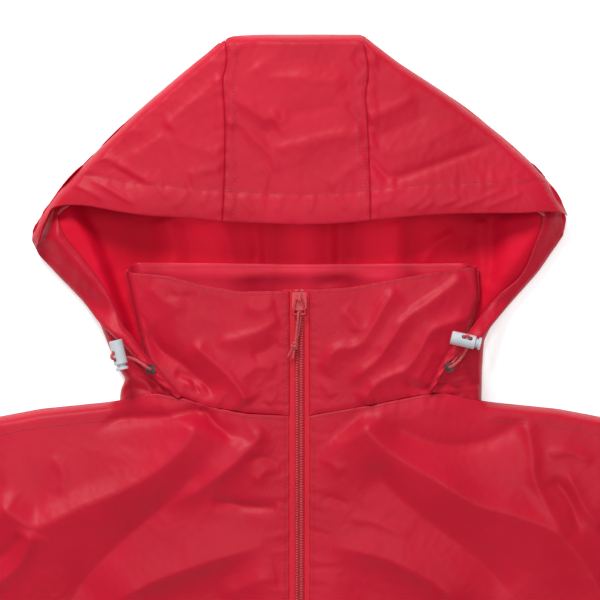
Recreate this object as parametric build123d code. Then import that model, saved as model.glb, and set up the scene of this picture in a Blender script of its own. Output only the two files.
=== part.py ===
from build123d import *
import os
from math import cos, pi, radians, sin, tan

# A hooded, full-zip shell jacket lying on its back on a flat surface.
# +X is the wearer's left, +Y runs from the hem to the top of the hood, +Z points out of the front.
# Every outline below is drawn from the neck line (y = 0 at the collar seam, x = 0 on the zip).
# The finished pieces are moved up by NECK_Y, which puts the origin in the middle of the footprint.

# Driving dimensions, in millimetres
NECK_Y = 226.0
HOOD_TOP_Y = 268.0
HEM_Y = -720.0
CLOTH = 1.0                 # thickness that every fabric panel is drawn at
BODY_TOP = 24.0             # height of the front panels, sleeves and collar as they lie
HOOD_TOP = 32.0             # height of the hood as it lies
HALF_HEM = 280.0
ZIP_EDGE = 7.0              # half the gap between the two front panels
COLLAR_TOP_Y = 80.0         # collar's front edge, at the zip

# Main zip
CHAIN_GAP = 0.45            # half the slit between the two coils
COIL_OUT = 3.4
TAPE_OUT = 12.0
TAPE_Z = 22.0
TAPE_THICK = 0.8
COIL_TOP = 25.0
ZIP_BOTTOM_Y = -705.0
SLIDER_LOW_Y = 65.5
SLIDER_LENGTH = 13.5
SLIDER_WIDTH = 10.6
SLIDER_GAP = 0.3            # between the slider's plates and what they slide on
PULL_PIN_Y = 74.0
PULL_PIN_Z = 27.9
PULL_WIRE = 1.4
PULL_BAR_Y = 62.6
PULL_CORD = 1.5

# Hood drawcord and its locks
DRAWCORD = 2.0
BRIM_CORD_Z = 29.4
HEM_STRIP_LOW = 24.4
HEM_STRIP_TOP = 28.6
HEM_CORD_Z = 26.5
FACING_DEPTH = 24.0         # width of the hem inside the brim
EYELET_FACE_Z = 29.5        # where the drawcord comes out of its eyelets
LOCK_RADIUS = 4.9
LOCK_BORE = 3.5
LOCK_STEM = 3.3
LOCK_BACK = -11.0           # places along the lock's own axis
LOCK_MOUTH = 6.8
CAP_LOW = 9.0
CAP_HIGH = 11.0
LOCK_FLOOR = 1.5
WINDOW_RADIUS = 1.7
WINDOW_NEAR = 2.6
WINDOW_FAR = -2.2

# Sleeves and pockets
CUFF_TURN = 15.0            # degrees that the cuff line is turned from level
CUFF_CENTRE = (399.5, -645.5)
CUFF_WIDTH = 104.5
POCKET_CENTRE = (178.0, -505.0)
POCKET_TURN = 9.0
POCKET_ZIP = 160.0
POCKET_SLIT = 12.0          # width of the opening in the front panel
POCKET_TAPE_OUT = 9.0
POCKET_COIL_OUT = 2.6
POCKET_SLIDER = (9.0, 11.0)  # width and length
POCKET_BAG = (158.0, 200.0)  # width and depth
POCKET_BAG_LOW = 14.0
POCKET_BAG_WALL = 0.8

# Sewn details
HEM_DEPTH = 25.0
TURNED_STRIP = 0.8          # thickness of what is turned in at the hem
CUFF_BAND = 22.0            # length of the elastic along the sleeve
CUFF_BAND_WALL = 1.2
CUFF_BAND_INSET = 4.5       # room between the elastic and the sides of the sleeve
CUFF_BAND_BACK = 4.0        # how far the elastic lies from the sleeve's end
COLLAR_BACK_Z = 1.2         # underside of the collar's back
NECK_TAPE = (190.0, 10.0, 0.6)  # length, width and thickness
NECK_TAPE_Y = 6.0
LOOP_RADIUS = 24.0
LOOP_WIDTH = 6.0
LOOP_THICK = 0.7
FACING_Z = (27.0, 28.0)     # the hem inside the brim, below the hood's panels
FACING_HALF = 145.0

HOOD_OUTLINE = [
    (135, -1.5), (136, 42), (165, 80), (192, 115), (197, 136), (182, 161), (110, 224), (74, 247),
    (47, HOOD_TOP_Y), (-54, HOOD_TOP_Y), (-80, 245), (-149, 182), (-196, 122), (-182, 96),
    (-147, 57), (-132, 30), (-135, -1.5), (-106, 5), (106, 5),
]
BRIM_EDGE = [(-205, 142), (-163, 142), (-116, 135), (-56, 130), (0, 128), (52, 131), (117, 136), (205, 136)]
SHOULDER = [(106, 5), (135, -1.5), (190, -7), (248, -20)]
SLEEVE_OUTSIDE = [(268, -42), (283, -90), (450, -632)]
CUFF_INNER = (349, -659)
UNDERARM = (285, -255)
ARMHOLE = [(248, -20), (232, -100), (240, -190), UNDERARM]
NECK_SEAM = [(0, -12), (34, -7), (59, -2), (92, 4), (106, 6)]
COLLAR_EDGE = [(131, 97), (103, 93), (74, 88.5), (37, 82), (0, COLLAR_TOP_Y)]


def mirrored(points):
    return [(-x, y) for x, y in reversed(points)]


def slab(points, low, high):
    """A flat plate with the outline of the points, between two heights."""
    face = Polygon(*points, align=None)
    return extrude(Plane.XY.offset(low) * face, amount=high - low, dir=(0, 0, 1))


def block(x, y, z):
    """A box from its low and high edges along each axis."""
    size = [span[1] - span[0] for span in (x, y, z)]
    middle = [(span[0] + span[1]) / 2 for span in (x, y, z)]
    return Pos(*middle) * Box(*size)


def both_sides(x, y, z):
    """The same box to the left and to the right of the zip."""
    return block(x, y, z) + block((-x[1], -x[0]), y, z)


def lid(points, low, high):
    """The top layer of a flat garment piece, with walls down to its under layer."""
    outside = slab(points, low, high)
    inset = offset(Polygon(*points, align=None), amount=-CLOTH, kind=Kind.INTERSECTION)
    inside = extrude(Plane.XY.offset(low) * inset, amount=high - low - CLOTH, dir=(0, 0, 1))
    return outside - inside


def corner_radii(points):
    """The largest arcs that the runs of a cord's route allow, one for each inner corner."""
    radii = []
    for before, here, after in zip(points, points[1:], points[2:]):
        run_in = Vector(*here) - Vector(*before)
        run_out = Vector(*after) - Vector(*here)
        turn = radians(run_in.get_angle(run_out))
        radii.append(0.45 * min(run_in.length, run_out.length) / tan(turn / 2))
    return radii


def tube(name, points, diameter):
    """A round cord along a route of straight runs joined by tangent arcs."""
    radii = corner_radii(points)
    path = FilletPolyline(*points, radius=radii)
    section = Plane(origin=path @ 0, z_dir=path % 0) * Circle(diameter / 2)
    cord = sweep(section, path=path)
    expected = path.length * pi * diameter ** 2 / 4
    print(f"{name}: length {path.length:.1f}, radii {[round(r, 1) for r in radii]},"
          f" volume ratio {cord.volume / expected:.3f}")
    return cord


def garment_outline():
    """Torso and both sleeves, as one outline."""
    left = SHOULDER + SLEEVE_OUTSIDE + [CUFF_INNER, UNDERARM, (HALF_HEM, HEM_Y)]
    return left + mirrored(left)


def torso_region():
    """What lies between the two armhole seams."""
    left = [(106, 40), (248, 40)] + ARMHOLE + [(310, HEM_Y - 10)]
    return left + mirrored(left)


def halves(name, shape):
    """The wearer's left and right parts of a piece, as two named nodes."""
    left = block((0, 500), (HEM_Y - 20, 300), (0, HOOD_TOP))
    right = block((-500, 0), (HEM_Y - 20, 300), (0, HOOD_TOP))
    return {f"{name}_left": shape - right, f"{name}_right": shape - left}


def mouths():
    """The hem, both cuffs and the neck, left open in the walls of the garment."""
    height = (CLOTH, BODY_TOP - CLOTH)
    inside_hem = HALF_HEM - CLOTH
    neck_half = 105.0
    neck_span = (-10.0, 8.0)
    cuff_half_depth = 4.0
    cuts = block((-inside_hem, inside_hem), (HEM_Y - 5, HEM_Y + 3), height)
    cuts += block((-neck_half, neck_half), neck_span, height)
    for side in (1, -1):
        mouth = Box(CUFF_WIDTH - 3 * CLOTH, 2 * cuff_half_depth, height[1] - height[0])
        place = Pos(side * CUFF_CENTRE[0], CUFF_CENTRE[1], sum(height) / 2)
        cuts += place * Rot(0, 0, side * CUFF_TURN) * mouth
    return cuts


def pocket_place(side):
    return Pos(side * POCKET_CENTRE[0], POCKET_CENTRE[1], 0) * Rot(0, 0, side * POCKET_TURN)


def torso_and_sleeves():
    outline = garment_outline()
    under = slab(outline, 0, CLOTH)
    top = lid(outline, CLOTH, BODY_TOP) - mouths()
    neck_hole = NECK_SEAM + [(106, 9)]
    top -= slab(neck_hole + mirrored(neck_hole), CLOTH, BODY_TOP)
    torso = slab(torso_region(), 0, BODY_TOP)
    top_torso = top & torso
    top_sleeves = top - torso
    under_sleeves = under - torso
    zip_gap = block((-ZIP_EDGE, ZIP_EDGE), (HEM_Y - 5, 20), (CLOTH, BODY_TOP))
    front = top_torso - zip_gap
    slit = block((-POCKET_SLIT / 2, POCKET_SLIT / 2), (-POCKET_ZIP / 2, POCKET_ZIP / 2), (CLOTH, BODY_TOP))
    for side in (1, -1):
        front -= pocket_place(side) * slit
    pieces = {"back_panel": under & torso}
    pieces.update(halves("front_panel", front))
    pieces.update(halves("sleeve_top", top_sleeves))
    pieces.update(halves("sleeve_under", under_sleeves))
    return pieces


def cuff_elastic(side):
    """A band of elastic inside the end of the sleeve."""
    width = CUFF_WIDTH - 2 * CUFF_BAND_INSET
    height = BODY_TOP - 2 * CLOTH
    outer = Box(width, CUFF_BAND, height)
    inner = Box(width - 2 * CUFF_BAND_WALL, CUFF_BAND, height - 2 * CUFF_BAND_WALL)
    place = Pos(side * CUFF_CENTRE[0], CUFF_CENTRE[1], BODY_TOP / 2) * Rot(0, 0, side * CUFF_TURN)
    return place * Pos(0, CUFF_BAND / 2 + CUFF_BAND_BACK, 0) * (outer - inner)


def hem_facing():
    """The turned-up strips inside the hem, two in front and one behind."""
    depth = (HEM_Y + 0.5, HEM_Y + HEM_DEPTH)
    reach = HALF_HEM - 2 * CLOTH
    front_top = BODY_TOP - CLOTH
    front = both_sides((TAPE_OUT + 1, reach), depth, (front_top - TURNED_STRIP, front_top))
    return front + block((-reach, reach), depth, (CLOTH, CLOTH + TURNED_STRIP))


def collar():
    outline = [(106, 6)] + COLLAR_EDGE + mirrored(COLLAR_EDGE)[1:] + mirrored(NECK_SEAM) + NECK_SEAM[1:-1]
    back_top = COLLAR_BACK_Z + CLOTH
    shell = slab(outline, back_top, BODY_TOP)
    hollow = [(105, -20), (105, 6), (130, 99)]
    shell -= slab(hollow + mirrored(hollow), back_top, BODY_TOP - CLOTH)
    shell -= block((-ZIP_EDGE, ZIP_EDGE), (-20, 100), (COLLAR_BACK_Z, BODY_TOP))
    back = [(106, 5.2), (131, 97), (120, 100)]
    length, width, thick = NECK_TAPE
    pieces = halves("collar_front", shell)
    pieces["collar_back"] = slab(back + mirrored(back), COLLAR_BACK_Z, back_top)
    pieces["neck_tape"] = block((-length / 2, length / 2), (NECK_TAPE_Y, NECK_TAPE_Y + width),
                                (back_top, back_top + thick))
    pieces["hang_loop"] = hang_loop(back_top + thick)
    return pieces


def hang_loop(low):
    """A flat ribbon sewn to the neck tape at both ends."""
    ring = Circle(LOOP_RADIUS) - Circle(LOOP_RADIUS - LOOP_WIDTH)
    lower_half = Pos(0, -LOOP_RADIUS) * Rectangle(3 * LOOP_RADIUS, 2 * LOOP_RADIUS)
    middle = NECK_TAPE_Y + LOOP_WIDTH
    ribbon = Plane.XY.offset(low) * Pos(0, middle) * (ring & lower_half)
    return extrude(ribbon, amount=LOOP_THICK)


def hood_neck_side():
    """The lower sides of the hood, outside the folded edge of its opening."""
    left = [(184, 126), (150, 64), (134, 44), (114, 24), (108.5, 12), (106.5, -5), (140, -5), (230, 136)]
    shell = lid(HOOD_OUTLINE, CLOTH, HEM_STRIP_LOW)
    return {
        "hood_neck_side_left": shell & slab(left, CLOTH, HEM_STRIP_LOW),
        "hood_neck_side_right": shell & slab(mirrored(left), CLOTH, HEM_STRIP_LOW),
    }


def hood():
    shell = lid(HOOD_OUTLINE, CLOTH, HOOD_TOP)
    above_brim = slab(BRIM_EDGE + [(205, 300), (-205, 300)], CLOTH, HOOD_TOP)
    top = shell & above_brim
    right_seam = [(-54, 300), (-56, 120)]
    left_seam = [(47, 300), (52, 120)]
    right_of_seam = slab(right_seam + [(-230, 120), (-230, 300)], 0, HOOD_TOP)
    left_of_seam = slab(left_seam + [(230, 120), (230, 300)], 0, HOOD_TOP)
    under_brim = [(x, y + 1) for x, y in BRIM_EDGE[1:-1]]
    facing = under_brim + [(x, y + FACING_DEPTH) for x, y in reversed(under_brim)]
    facing_reach = block((-FACING_HALF, FACING_HALF), (100, 200), FACING_Z)
    return {
        "hood_back": slab(HOOD_OUTLINE, 0, CLOTH),
        "hood_panel_left": top & left_of_seam,
        "hood_panel_right": top & right_of_seam,
        "hood_panel_centre": top - left_of_seam - right_of_seam,
        "hood_brim_facing": slab(facing, *FACING_Z) & facing_reach,
    }


SIDE_HEM_LEFT = {
    "inner": [(177, 134), (172, 114), (158, 87), (137, 67), (121, 48), (102, 26), (88, 8)],
    "outer": [(190, 132), (188, 117), (178, 99), (165, 83), (147, 62), (134, 46), (113, 23), (98, 6)],
}
SIDE_HEM_RIGHT = {
    "inner": [(-174, 134), (-166, 112), (-150, 90), (-134, 70), (-121, 52), (-100, 24), (-84, 4)],
    "outer": [(-186, 131), (-187, 113), (-172, 90), (-149, 64), (-134, 45), (-110, 17), (-94, 3)],
}
DRAWCORD_ROUTE = [
    (109.5, 24, EYELET_FACE_Z), (109.5, 24, 26), (117, 35, HEM_CORD_Z), (127, 46, HEM_CORD_Z),
    (145, 67.5, HEM_CORD_Z), (166, 90, HEM_CORD_Z), (180, 113, 27.2), (184, 130, 28.6),
    (172, 141.5, BRIM_CORD_Z),
    (118, 142, BRIM_CORD_Z), (60, 137, BRIM_CORD_Z), (2, 134.5, BRIM_CORD_Z), (-56, 136.5, BRIM_CORD_Z),
    (-112, 141.5, BRIM_CORD_Z), (-160, 147.5, BRIM_CORD_Z), (-179, 137, 28.6), (-180, 120, 27.2),
    (-166.5, 95.5, HEM_CORD_Z), (-141.5, 63.5, HEM_CORD_Z), (-132, 50.5, HEM_CORD_Z), (-117, 33, HEM_CORD_Z),
    (-108.5, 22.5, 26), (-108.5, 22.5, EYELET_FACE_Z),
]


def side_hem(edges, channel):
    """The folded edge of the hood's opening, with the drawcord's channel along it."""
    strip = slab(edges["inner"] + edges["outer"][::-1], HEM_STRIP_LOW, HEM_STRIP_TOP)
    return strip - channel


EYELETS = {"left": (109.5, 24.0), "right": (-108.5, 22.5)}
# centre of each lock, direction of its axis towards the button, and tilt of its windows from straight up
LOCKS = {
    "left": {"centre": (121.0, 43.5, 37.5), "axis": (0.975, -0.222), "tilt": 30},
    "right": {"centre": (-131.0, 33.0, 36.0), "axis": (0.235, -0.972), "tilt": 48},
}


def eyelet(side):
    x, y = EYELETS[side]
    flange_thick = 0.8
    hole = Cylinder(1.6, 2)
    flange = Cylinder(3.6, flange_thick) - hole
    rim = Cylinder(2.2, 0.9) - hole
    return Pos(x, y, HEM_STRIP_TOP + flange_thick / 2) * (flange + Pos(0, 0, 0.6) * rim)


def lock_place(side):
    """Local X runs along the lock towards its button, local Z out of its windows."""
    lock = LOCKS[side]
    ux, uy = lock["axis"]
    across = (-uy, ux) if side == "left" else (uy, -ux)
    tilt = radians(lock["tilt"])
    window = (across[0] * sin(tilt), across[1] * sin(tilt), cos(tilt))
    return Plane(origin=lock["centre"], x_dir=(ux, uy, 0), z_dir=window)


def along_axis(radius, low, high):
    return Pos((low + high) / 2, 0, 0) * Rot(0, 90, 0) * Cylinder(radius, high - low)


def cord_lock_barrel():
    barrel = along_axis(LOCK_RADIUS, LOCK_BACK, LOCK_MOUTH)
    barrel = chamfer(barrel.edges().filter_by(GeomType.CIRCLE), 0.5)
    barrel -= along_axis(LOCK_BORE, LOCK_BACK + LOCK_FLOOR, LOCK_MOUTH + 1)
    barrel -= Pos(WINDOW_NEAR, 0, 0) * Cylinder(WINDOW_RADIUS, 12)
    barrel -= Pos(WINDOW_FAR, 0, 3) * Cylinder(WINDOW_RADIUS, 6)
    return barrel


def cord_lock_plunger():
    stem = along_axis(LOCK_STEM, -4.6, CAP_LOW)
    cap = along_axis(LOCK_RADIUS - 0.3, CAP_LOW, CAP_HIGH)
    cap = chamfer(cap.edges().filter_by(GeomType.CIRCLE), 0.4)
    slot_middle = 1.3
    slot_length = 9.6
    slot = Pos(slot_middle, 0, 0) * Box(slot_length, 3.0, 8)
    return stem + cap - slot


def cord_lock_spring():
    """A coil spring between the bottom of the barrel and the end of the plunger."""
    wire = 0.5
    length = 4.4
    clearance = 0.05
    coil = Helix(pitch=1.1, height=length - wire, radius=2.4)
    section = Plane(origin=coil @ 0, z_dir=coil % 0) * Circle(wire / 2)
    spring = sweep(section, path=coil, is_frenet=True)
    return Pos(LOCK_BACK + LOCK_FLOOR + wire / 2 + clearance, 0, 0) * Rot(0, 90, 0) * spring


def toggle_route(side):
    """The drawcord's end: out of the eyelet, through the lock, out of one window and into the other."""
    place = lock_place(side)
    x, y = EYELETS[side]
    leaving = [(x, y, EYELET_FACE_Z), (x, y, EYELET_FACE_Z + 2.5)]
    if side == "left":
        leaving += [(112.5, 25.6, 33.6), (117.5, 30.2, 32.2)]
    else:
        leaving += [(-112.5, 25.4, 32.6), (-118.5, 29.2, 31.2)]
    inside = [(WINDOW_NEAR, 0, -7.4), (WINDOW_NEAR, 0, 7.2), (WINDOW_FAR, 0, 7.2), (WINDOW_FAR, 0, 2.5)]
    return leaving + [tuple(place.from_local_coords(Vector(*point))) for point in inside]


def cord_locks():
    pieces = {}
    for side in ("left", "right"):
        place = lock_place(side)
        pieces[f"eyelet_{side}"] = eyelet(side)
        pieces[f"cord_lock_barrel_{side}"] = place * cord_lock_barrel()
        pieces[f"cord_lock_plunger_{side}"] = place * cord_lock_plunger()
        pieces[f"cord_lock_spring_{side}"] = place * cord_lock_spring()
        pieces[f"toggle_cord_{side}"] = tube(f"toggle_cord_{side}", toggle_route(side), DRAWCORD)
    return pieces


def zip_half(side, tape_out, coil_out, low, high):
    """One tape and its coil, left (1) or right (-1) of the slit."""
    def span(near, far):
        return (near, far) if side > 0 else (-far, -near)
    tape = block(span(CHAIN_GAP, tape_out), (low, high), (TAPE_Z, TAPE_Z + TAPE_THICK))
    coil = block(span(CHAIN_GAP, coil_out), (low + 4, high - 1.6), (TAPE_Z + TAPE_THICK, COIL_TOP))
    return tape, coil


def slider_body(width, length):
    """Two plates joined by a thin web that runs in the slit between the coils."""
    half = width / 2
    end = length / 2
    corner = 2.2
    top_low = COIL_TOP + SLIDER_GAP
    top = block((-half, half), (-end, end), (top_low, top_low + 1.2))
    top = fillet(top.edges().filter_by(Axis.Z), corner)
    flange_end = end - 2.3
    flanges = both_sides((COIL_OUT + 0.4, half), (-flange_end, flange_end), (TAPE_Z + 1.1, top_low))
    bottom_high = TAPE_Z - SLIDER_GAP
    bottom = block((-half, half), (-end, end), (bottom_high - 1.1, bottom_high))
    bottom = fillet(bottom.edges().filter_by(Axis.Z), corner)
    web_half = 0.25
    web = block((-web_half, web_half), (end - 5, end - 0.5), (bottom_high, top_low))
    return top + flanges + bottom + web


def crown(pin_y, low_y, high_y):
    """The arch on the slider that holds the wire pull."""
    base = COIL_TOP + SLIDER_GAP + 1.2
    half = 1.0
    arch = block((-half, half), (low_y, high_y), (base, PULL_PIN_Z + 1.9))
    arch = fillet(arch.edges().filter_by(Axis.X).group_by(Axis.Z)[-1], 1.2)
    hole_radius = 1.0
    return arch - Pos(0, pin_y, PULL_PIN_Z) * Rot(0, 90, 0) * Cylinder(hole_radius, 6)


def wire_loop(top_half, bottom_half, top_y, bottom_y):
    """A pull bent from one wire, narrow at the pin and wide at its end."""
    corners = [(-top_half, top_y), (top_half, top_y), (bottom_half, bottom_y), (-bottom_half, bottom_y)]
    points = [(x, y, PULL_PIN_Z) for x, y in corners]
    path = FilletPolyline(*points, radius=1.15, close=True)
    section = Plane(origin=path @ 0, z_dir=path % 0) * Circle(PULL_WIRE / 2)
    return sweep(section, path=path)


PULL_CORD_ROUTE = [
    (-8.4, 31.6, 27.4), (-6.2, 36.0, 28.1), (-2.9, 42.0, 28.9), (-1.9, 51.0, 29.3), (-1.0, 58.0, 29.9),
    (-0.9, 64.5, 29.9), (0.9, 64.5, 25.9), (1.0, 58.0, 26.3), (-0.4, 51.0, 27.4), (-2.3, 42.4, 28.5),
    (-3.9, 36.4, 28.3), (-4.4, 30.4, 27.3),
]


def main_zip():
    top_y = COLLAR_TOP_Y + 0.8
    pieces = {}
    for side, name in ((1, "left"), (-1, "right")):
        tape, coil = zip_half(side, TAPE_OUT, COIL_OUT, ZIP_BOTTOM_Y, top_y)
        pieces[f"zip_tape_{name}"] = tape
        pieces[f"zip_coil_{name}"] = coil
    chain_z = (TAPE_Z + TAPE_THICK, COIL_TOP)
    pieces["zip_top_stops"] = both_sides((0.6, 3.3), (top_y - 1.4, top_y - 0.2), chain_z)
    pin_z = (22.9, 24.9)
    pin_end = ZIP_BOTTOM_Y - 10
    pin_room = 0.4
    pieces["zip_insertion_pin"] = block((0.6, 3.2), (pin_end, ZIP_BOTTOM_Y + 3.8), pin_z)
    case = block((-4.6, 4.6), (pin_end - 2, ZIP_BOTTOM_Y - 0.3), (21.3, 26.2))
    case = fillet(case.edges().filter_by(Axis.Y), 0.8)
    socket_z = (pin_z[0] - pin_room, pin_z[1] + pin_room)
    pieces["zip_retainer_box"] = case - block((0.3, 3.6), (pin_end - pin_room, ZIP_BOTTOM_Y), socket_z)
    middle_y = SLIDER_LOW_Y + SLIDER_LENGTH / 2
    body = Pos(0, middle_y, 0) * slider_body(SLIDER_WIDTH, SLIDER_LENGTH)
    pieces["zip_slider"] = body + crown(PULL_PIN_Y, SLIDER_LOW_Y + 6, SLIDER_LOW_Y + SLIDER_LENGTH)
    pieces["zip_pull_wire"] = wire_loop(2.1, 4.5, PULL_PIN_Y, PULL_BAR_Y)
    pieces["zip_pull_cord"] = tube("zip_pull_cord", PULL_CORD_ROUTE, PULL_CORD)
    pieces["zip_pull_knot"] = Pos(-3.6, 39.3, 28.7) * Rot(0, 0, -28) * scale(Sphere(1), (2.3, 3.3, 2.2))
    return pieces


def pocket(side, name):
    """A zipped hand pocket behind the front panel, drawn about the middle of its zip."""
    half = POCKET_ZIP / 2
    place = pocket_place(side)
    tapes = []
    coils = []
    for half_side in (1, -1):
        tape, coil = zip_half(half_side, POCKET_TAPE_OUT, POCKET_COIL_OUT, -half - 4, half + 1.6)
        tapes.append(tape)
        coils.append(coil)
    slider = Pos(0, half - 9, 0) * slider_body(*POCKET_SLIDER)
    pin_y = half - 7
    slider += crown(pin_y, pin_y - 3, pin_y + 3.4)
    pull = wire_loop(2.0, 3.6, pin_y, pin_y - 12)
    width, depth = POCKET_BAG
    wall = POCKET_BAG_WALL
    bag_high = TAPE_Z - 1.8
    outward = 8.0
    across = (outward - width, outward) if side > 0 else (-outward, width - outward)
    bag = block(across, (half - depth, half), (POCKET_BAG_LOW, bag_high))
    bag -= block((across[0] + CLOTH, across[1] - CLOTH), (half - depth + CLOTH, half - CLOTH),
                 (POCKET_BAG_LOW + wall, bag_high - wall))
    bag -= block((-4, 4), (-half + 6, half - 6), (bag_high - CLOTH, bag_high))
    return {
        f"pocket_tape_{name}": place * (tapes[0] + tapes[1]),
        f"pocket_coil_{name}": place * (coils[0] + coils[1]),
        f"pocket_slider_{name}": place * slider,
        f"pocket_pull_{name}": place * pull,
        f"pocket_bag_{name}": place * bag,
    }


def build():
    pieces = torso_and_sleeves()
    pieces["hem_facing"] = hem_facing()
    pieces["cuff_elastic_left"] = cuff_elastic(1)
    pieces["cuff_elastic_right"] = cuff_elastic(-1)
    pieces.update(collar())
    pieces.update(hood())
    pieces.update(hood_neck_side())
    channel = tube("channel", DRAWCORD_ROUTE, DRAWCORD + 0.8)
    pieces["hood_side_hem_left"] = side_hem(SIDE_HEM_LEFT, channel)
    pieces["hood_side_hem_right"] = side_hem(SIDE_HEM_RIGHT, channel)
    pieces["hood_drawcord"] = tube("hood_drawcord", DRAWCORD_ROUTE, DRAWCORD)
    pieces.update(cord_locks())
    pieces.update(main_zip())
    pieces.update(pocket(1, "left"))
    pieces.update(pocket(-1, "right"))
    return pieces


os.makedirs("parts", exist_ok=True)
for node, shape in build().items():
    export_step(Pos(0, NECK_Y, 0) * shape, f"parts/{node}.step")
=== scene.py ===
import math

import bpy
import numpy as np
from mathutils import Matrix, Vector, noise
from mathutils.bvhtree import BVHTree


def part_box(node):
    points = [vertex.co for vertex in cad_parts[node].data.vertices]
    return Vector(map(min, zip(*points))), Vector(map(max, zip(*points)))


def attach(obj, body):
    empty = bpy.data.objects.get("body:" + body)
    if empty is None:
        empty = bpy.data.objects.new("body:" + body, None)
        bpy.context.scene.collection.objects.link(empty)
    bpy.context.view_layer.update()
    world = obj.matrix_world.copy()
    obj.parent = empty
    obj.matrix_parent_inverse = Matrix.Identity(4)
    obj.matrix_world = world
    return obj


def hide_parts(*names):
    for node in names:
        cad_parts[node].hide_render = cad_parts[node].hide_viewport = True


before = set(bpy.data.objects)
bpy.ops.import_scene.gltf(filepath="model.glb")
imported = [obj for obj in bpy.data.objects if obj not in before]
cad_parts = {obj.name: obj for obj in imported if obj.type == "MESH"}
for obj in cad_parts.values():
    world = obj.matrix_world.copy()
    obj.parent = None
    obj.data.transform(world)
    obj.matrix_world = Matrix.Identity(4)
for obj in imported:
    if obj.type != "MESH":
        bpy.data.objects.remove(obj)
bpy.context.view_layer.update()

# Lengths in this script are millimetres from the neck line (y = 0) and the zip (x = 0), as in the CAD,
# and become metres in the shared frame when a mesh is made.
MM = 0.001
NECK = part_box("neck_tape")[0].y / MM - 6.0
HEM_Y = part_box("front_panel_left")[0].y / MM - NECK
HOOD_TOP_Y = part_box("hood_back")[1].y / MM - NECK
BODY_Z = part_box("front_panel_left")[1].z / MM
HOOD_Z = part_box("hood_panel_centre")[1].z / MM
ZIP_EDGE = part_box("front_panel_left")[0].x / MM
HALF_HEM = 280.0
CLOTH = 0.45


# ---------------------------------------------------------------- camera, light and floor

def add_camera():
    """Straight above, as high as the lens needs for the width that it sees."""
    lens, sensor = 200.0, 36.0
    width = 438.0
    middle_y = NECK + 73.0
    distance = width * lens / sensor
    data = bpy.data.cameras.new("camera")
    data.lens = lens
    data.sensor_width = sensor
    camera = bpy.data.objects.new("camera", data)
    camera.location = (0.5 * MM, middle_y * MM, (BODY_Z + distance) * MM)
    bpy.context.scene.collection.objects.link(camera)
    bpy.context.scene.camera = camera


def add_area(name, location, size, watts, target):
    data = bpy.data.lights.new(name, "AREA")
    data.shape = "DISK"
    data.size = size
    data.energy = watts
    light = bpy.data.objects.new(name, data)
    light.location = location
    aim = Vector(target) - Vector(location)
    light.rotation_euler = aim.to_track_quat("-Z", "Y").to_euler()
    bpy.context.scene.collection.objects.link(light)


def add_light():
    target = (0, NECK * MM, 0)
    add_area("key_light", (-0.55, 1.8, 1.3), 0.7, 36, target)
    add_area("top_light", (0.0, 0.6, 3.0), 1.6, 25, target)
    add_area("low_fill", (0.2, -1.9, 1.0), 1.4, 7, target)
    world = bpy.data.worlds.new("studio")
    world.use_nodes = True
    world.node_tree.nodes["Background"].inputs["Color"].default_value = (1, 1, 1, 1)
    world.node_tree.nodes["Background"].inputs["Strength"].default_value = 0.42
    bpy.context.scene.world = world
    bpy.context.scene.view_settings.view_transform = "Standard"


def add_floor():
    mesh = bpy.data.meshes.new("floor")
    half = 6.0
    low = -0.6 * MM
    corners = [(-half, -half, low), (half, -half, low), (half, half, low), (-half, half, low)]
    mesh.from_pydata(corners, [], [(0, 1, 2, 3)])
    floor = bpy.data.objects.new("floor", mesh)
    bpy.context.scene.collection.objects.link(floor)
    material, nodes, links, shader = new_material("studio_floor")
    shader.inputs["Roughness"].default_value = 0.9
    texture = add_node(nodes, "TexNoise", Scale=2.0)
    ramp = two_colour_ramp(nodes, (0.93, 0.93, 0.935, 1), (0.96, 0.96, 0.96, 1))
    links.new(texture.outputs["Fac"], ramp.inputs["Fac"])
    links.new(ramp.outputs["Color"], shader.inputs["Base Color"])
    links.new(ramp.outputs["Color"], shader.inputs["Emission Color"])
    shader.inputs["Emission Strength"].default_value = 0.35
    mesh.materials.append(material)


# ---------------------------------------------------------------- materials

def new_material(name):
    material = bpy.data.materials.new(name)
    material.use_nodes = True
    nodes = material.node_tree.nodes
    return material, nodes, material.node_tree.links, nodes["Principled BSDF"]


def add_node(nodes, kind, **inputs):
    """A shader node with its inputs set by name, such as To_Min for the input To Min."""
    node = nodes.new("ShaderNode" + kind)
    for name, value in inputs.items():
        node.inputs[name.replace("_", " ")].default_value = value
    return node


def two_colour_ramp(nodes, low, high, start=0.35, end=0.65):
    ramp = add_node(nodes, "ValToRGB")
    ramp.color_ramp.elements[0].color = low
    ramp.color_ramp.elements[1].color = high
    ramp.color_ramp.elements[0].position = start
    ramp.color_ramp.elements[1].position = end
    return ramp


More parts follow.
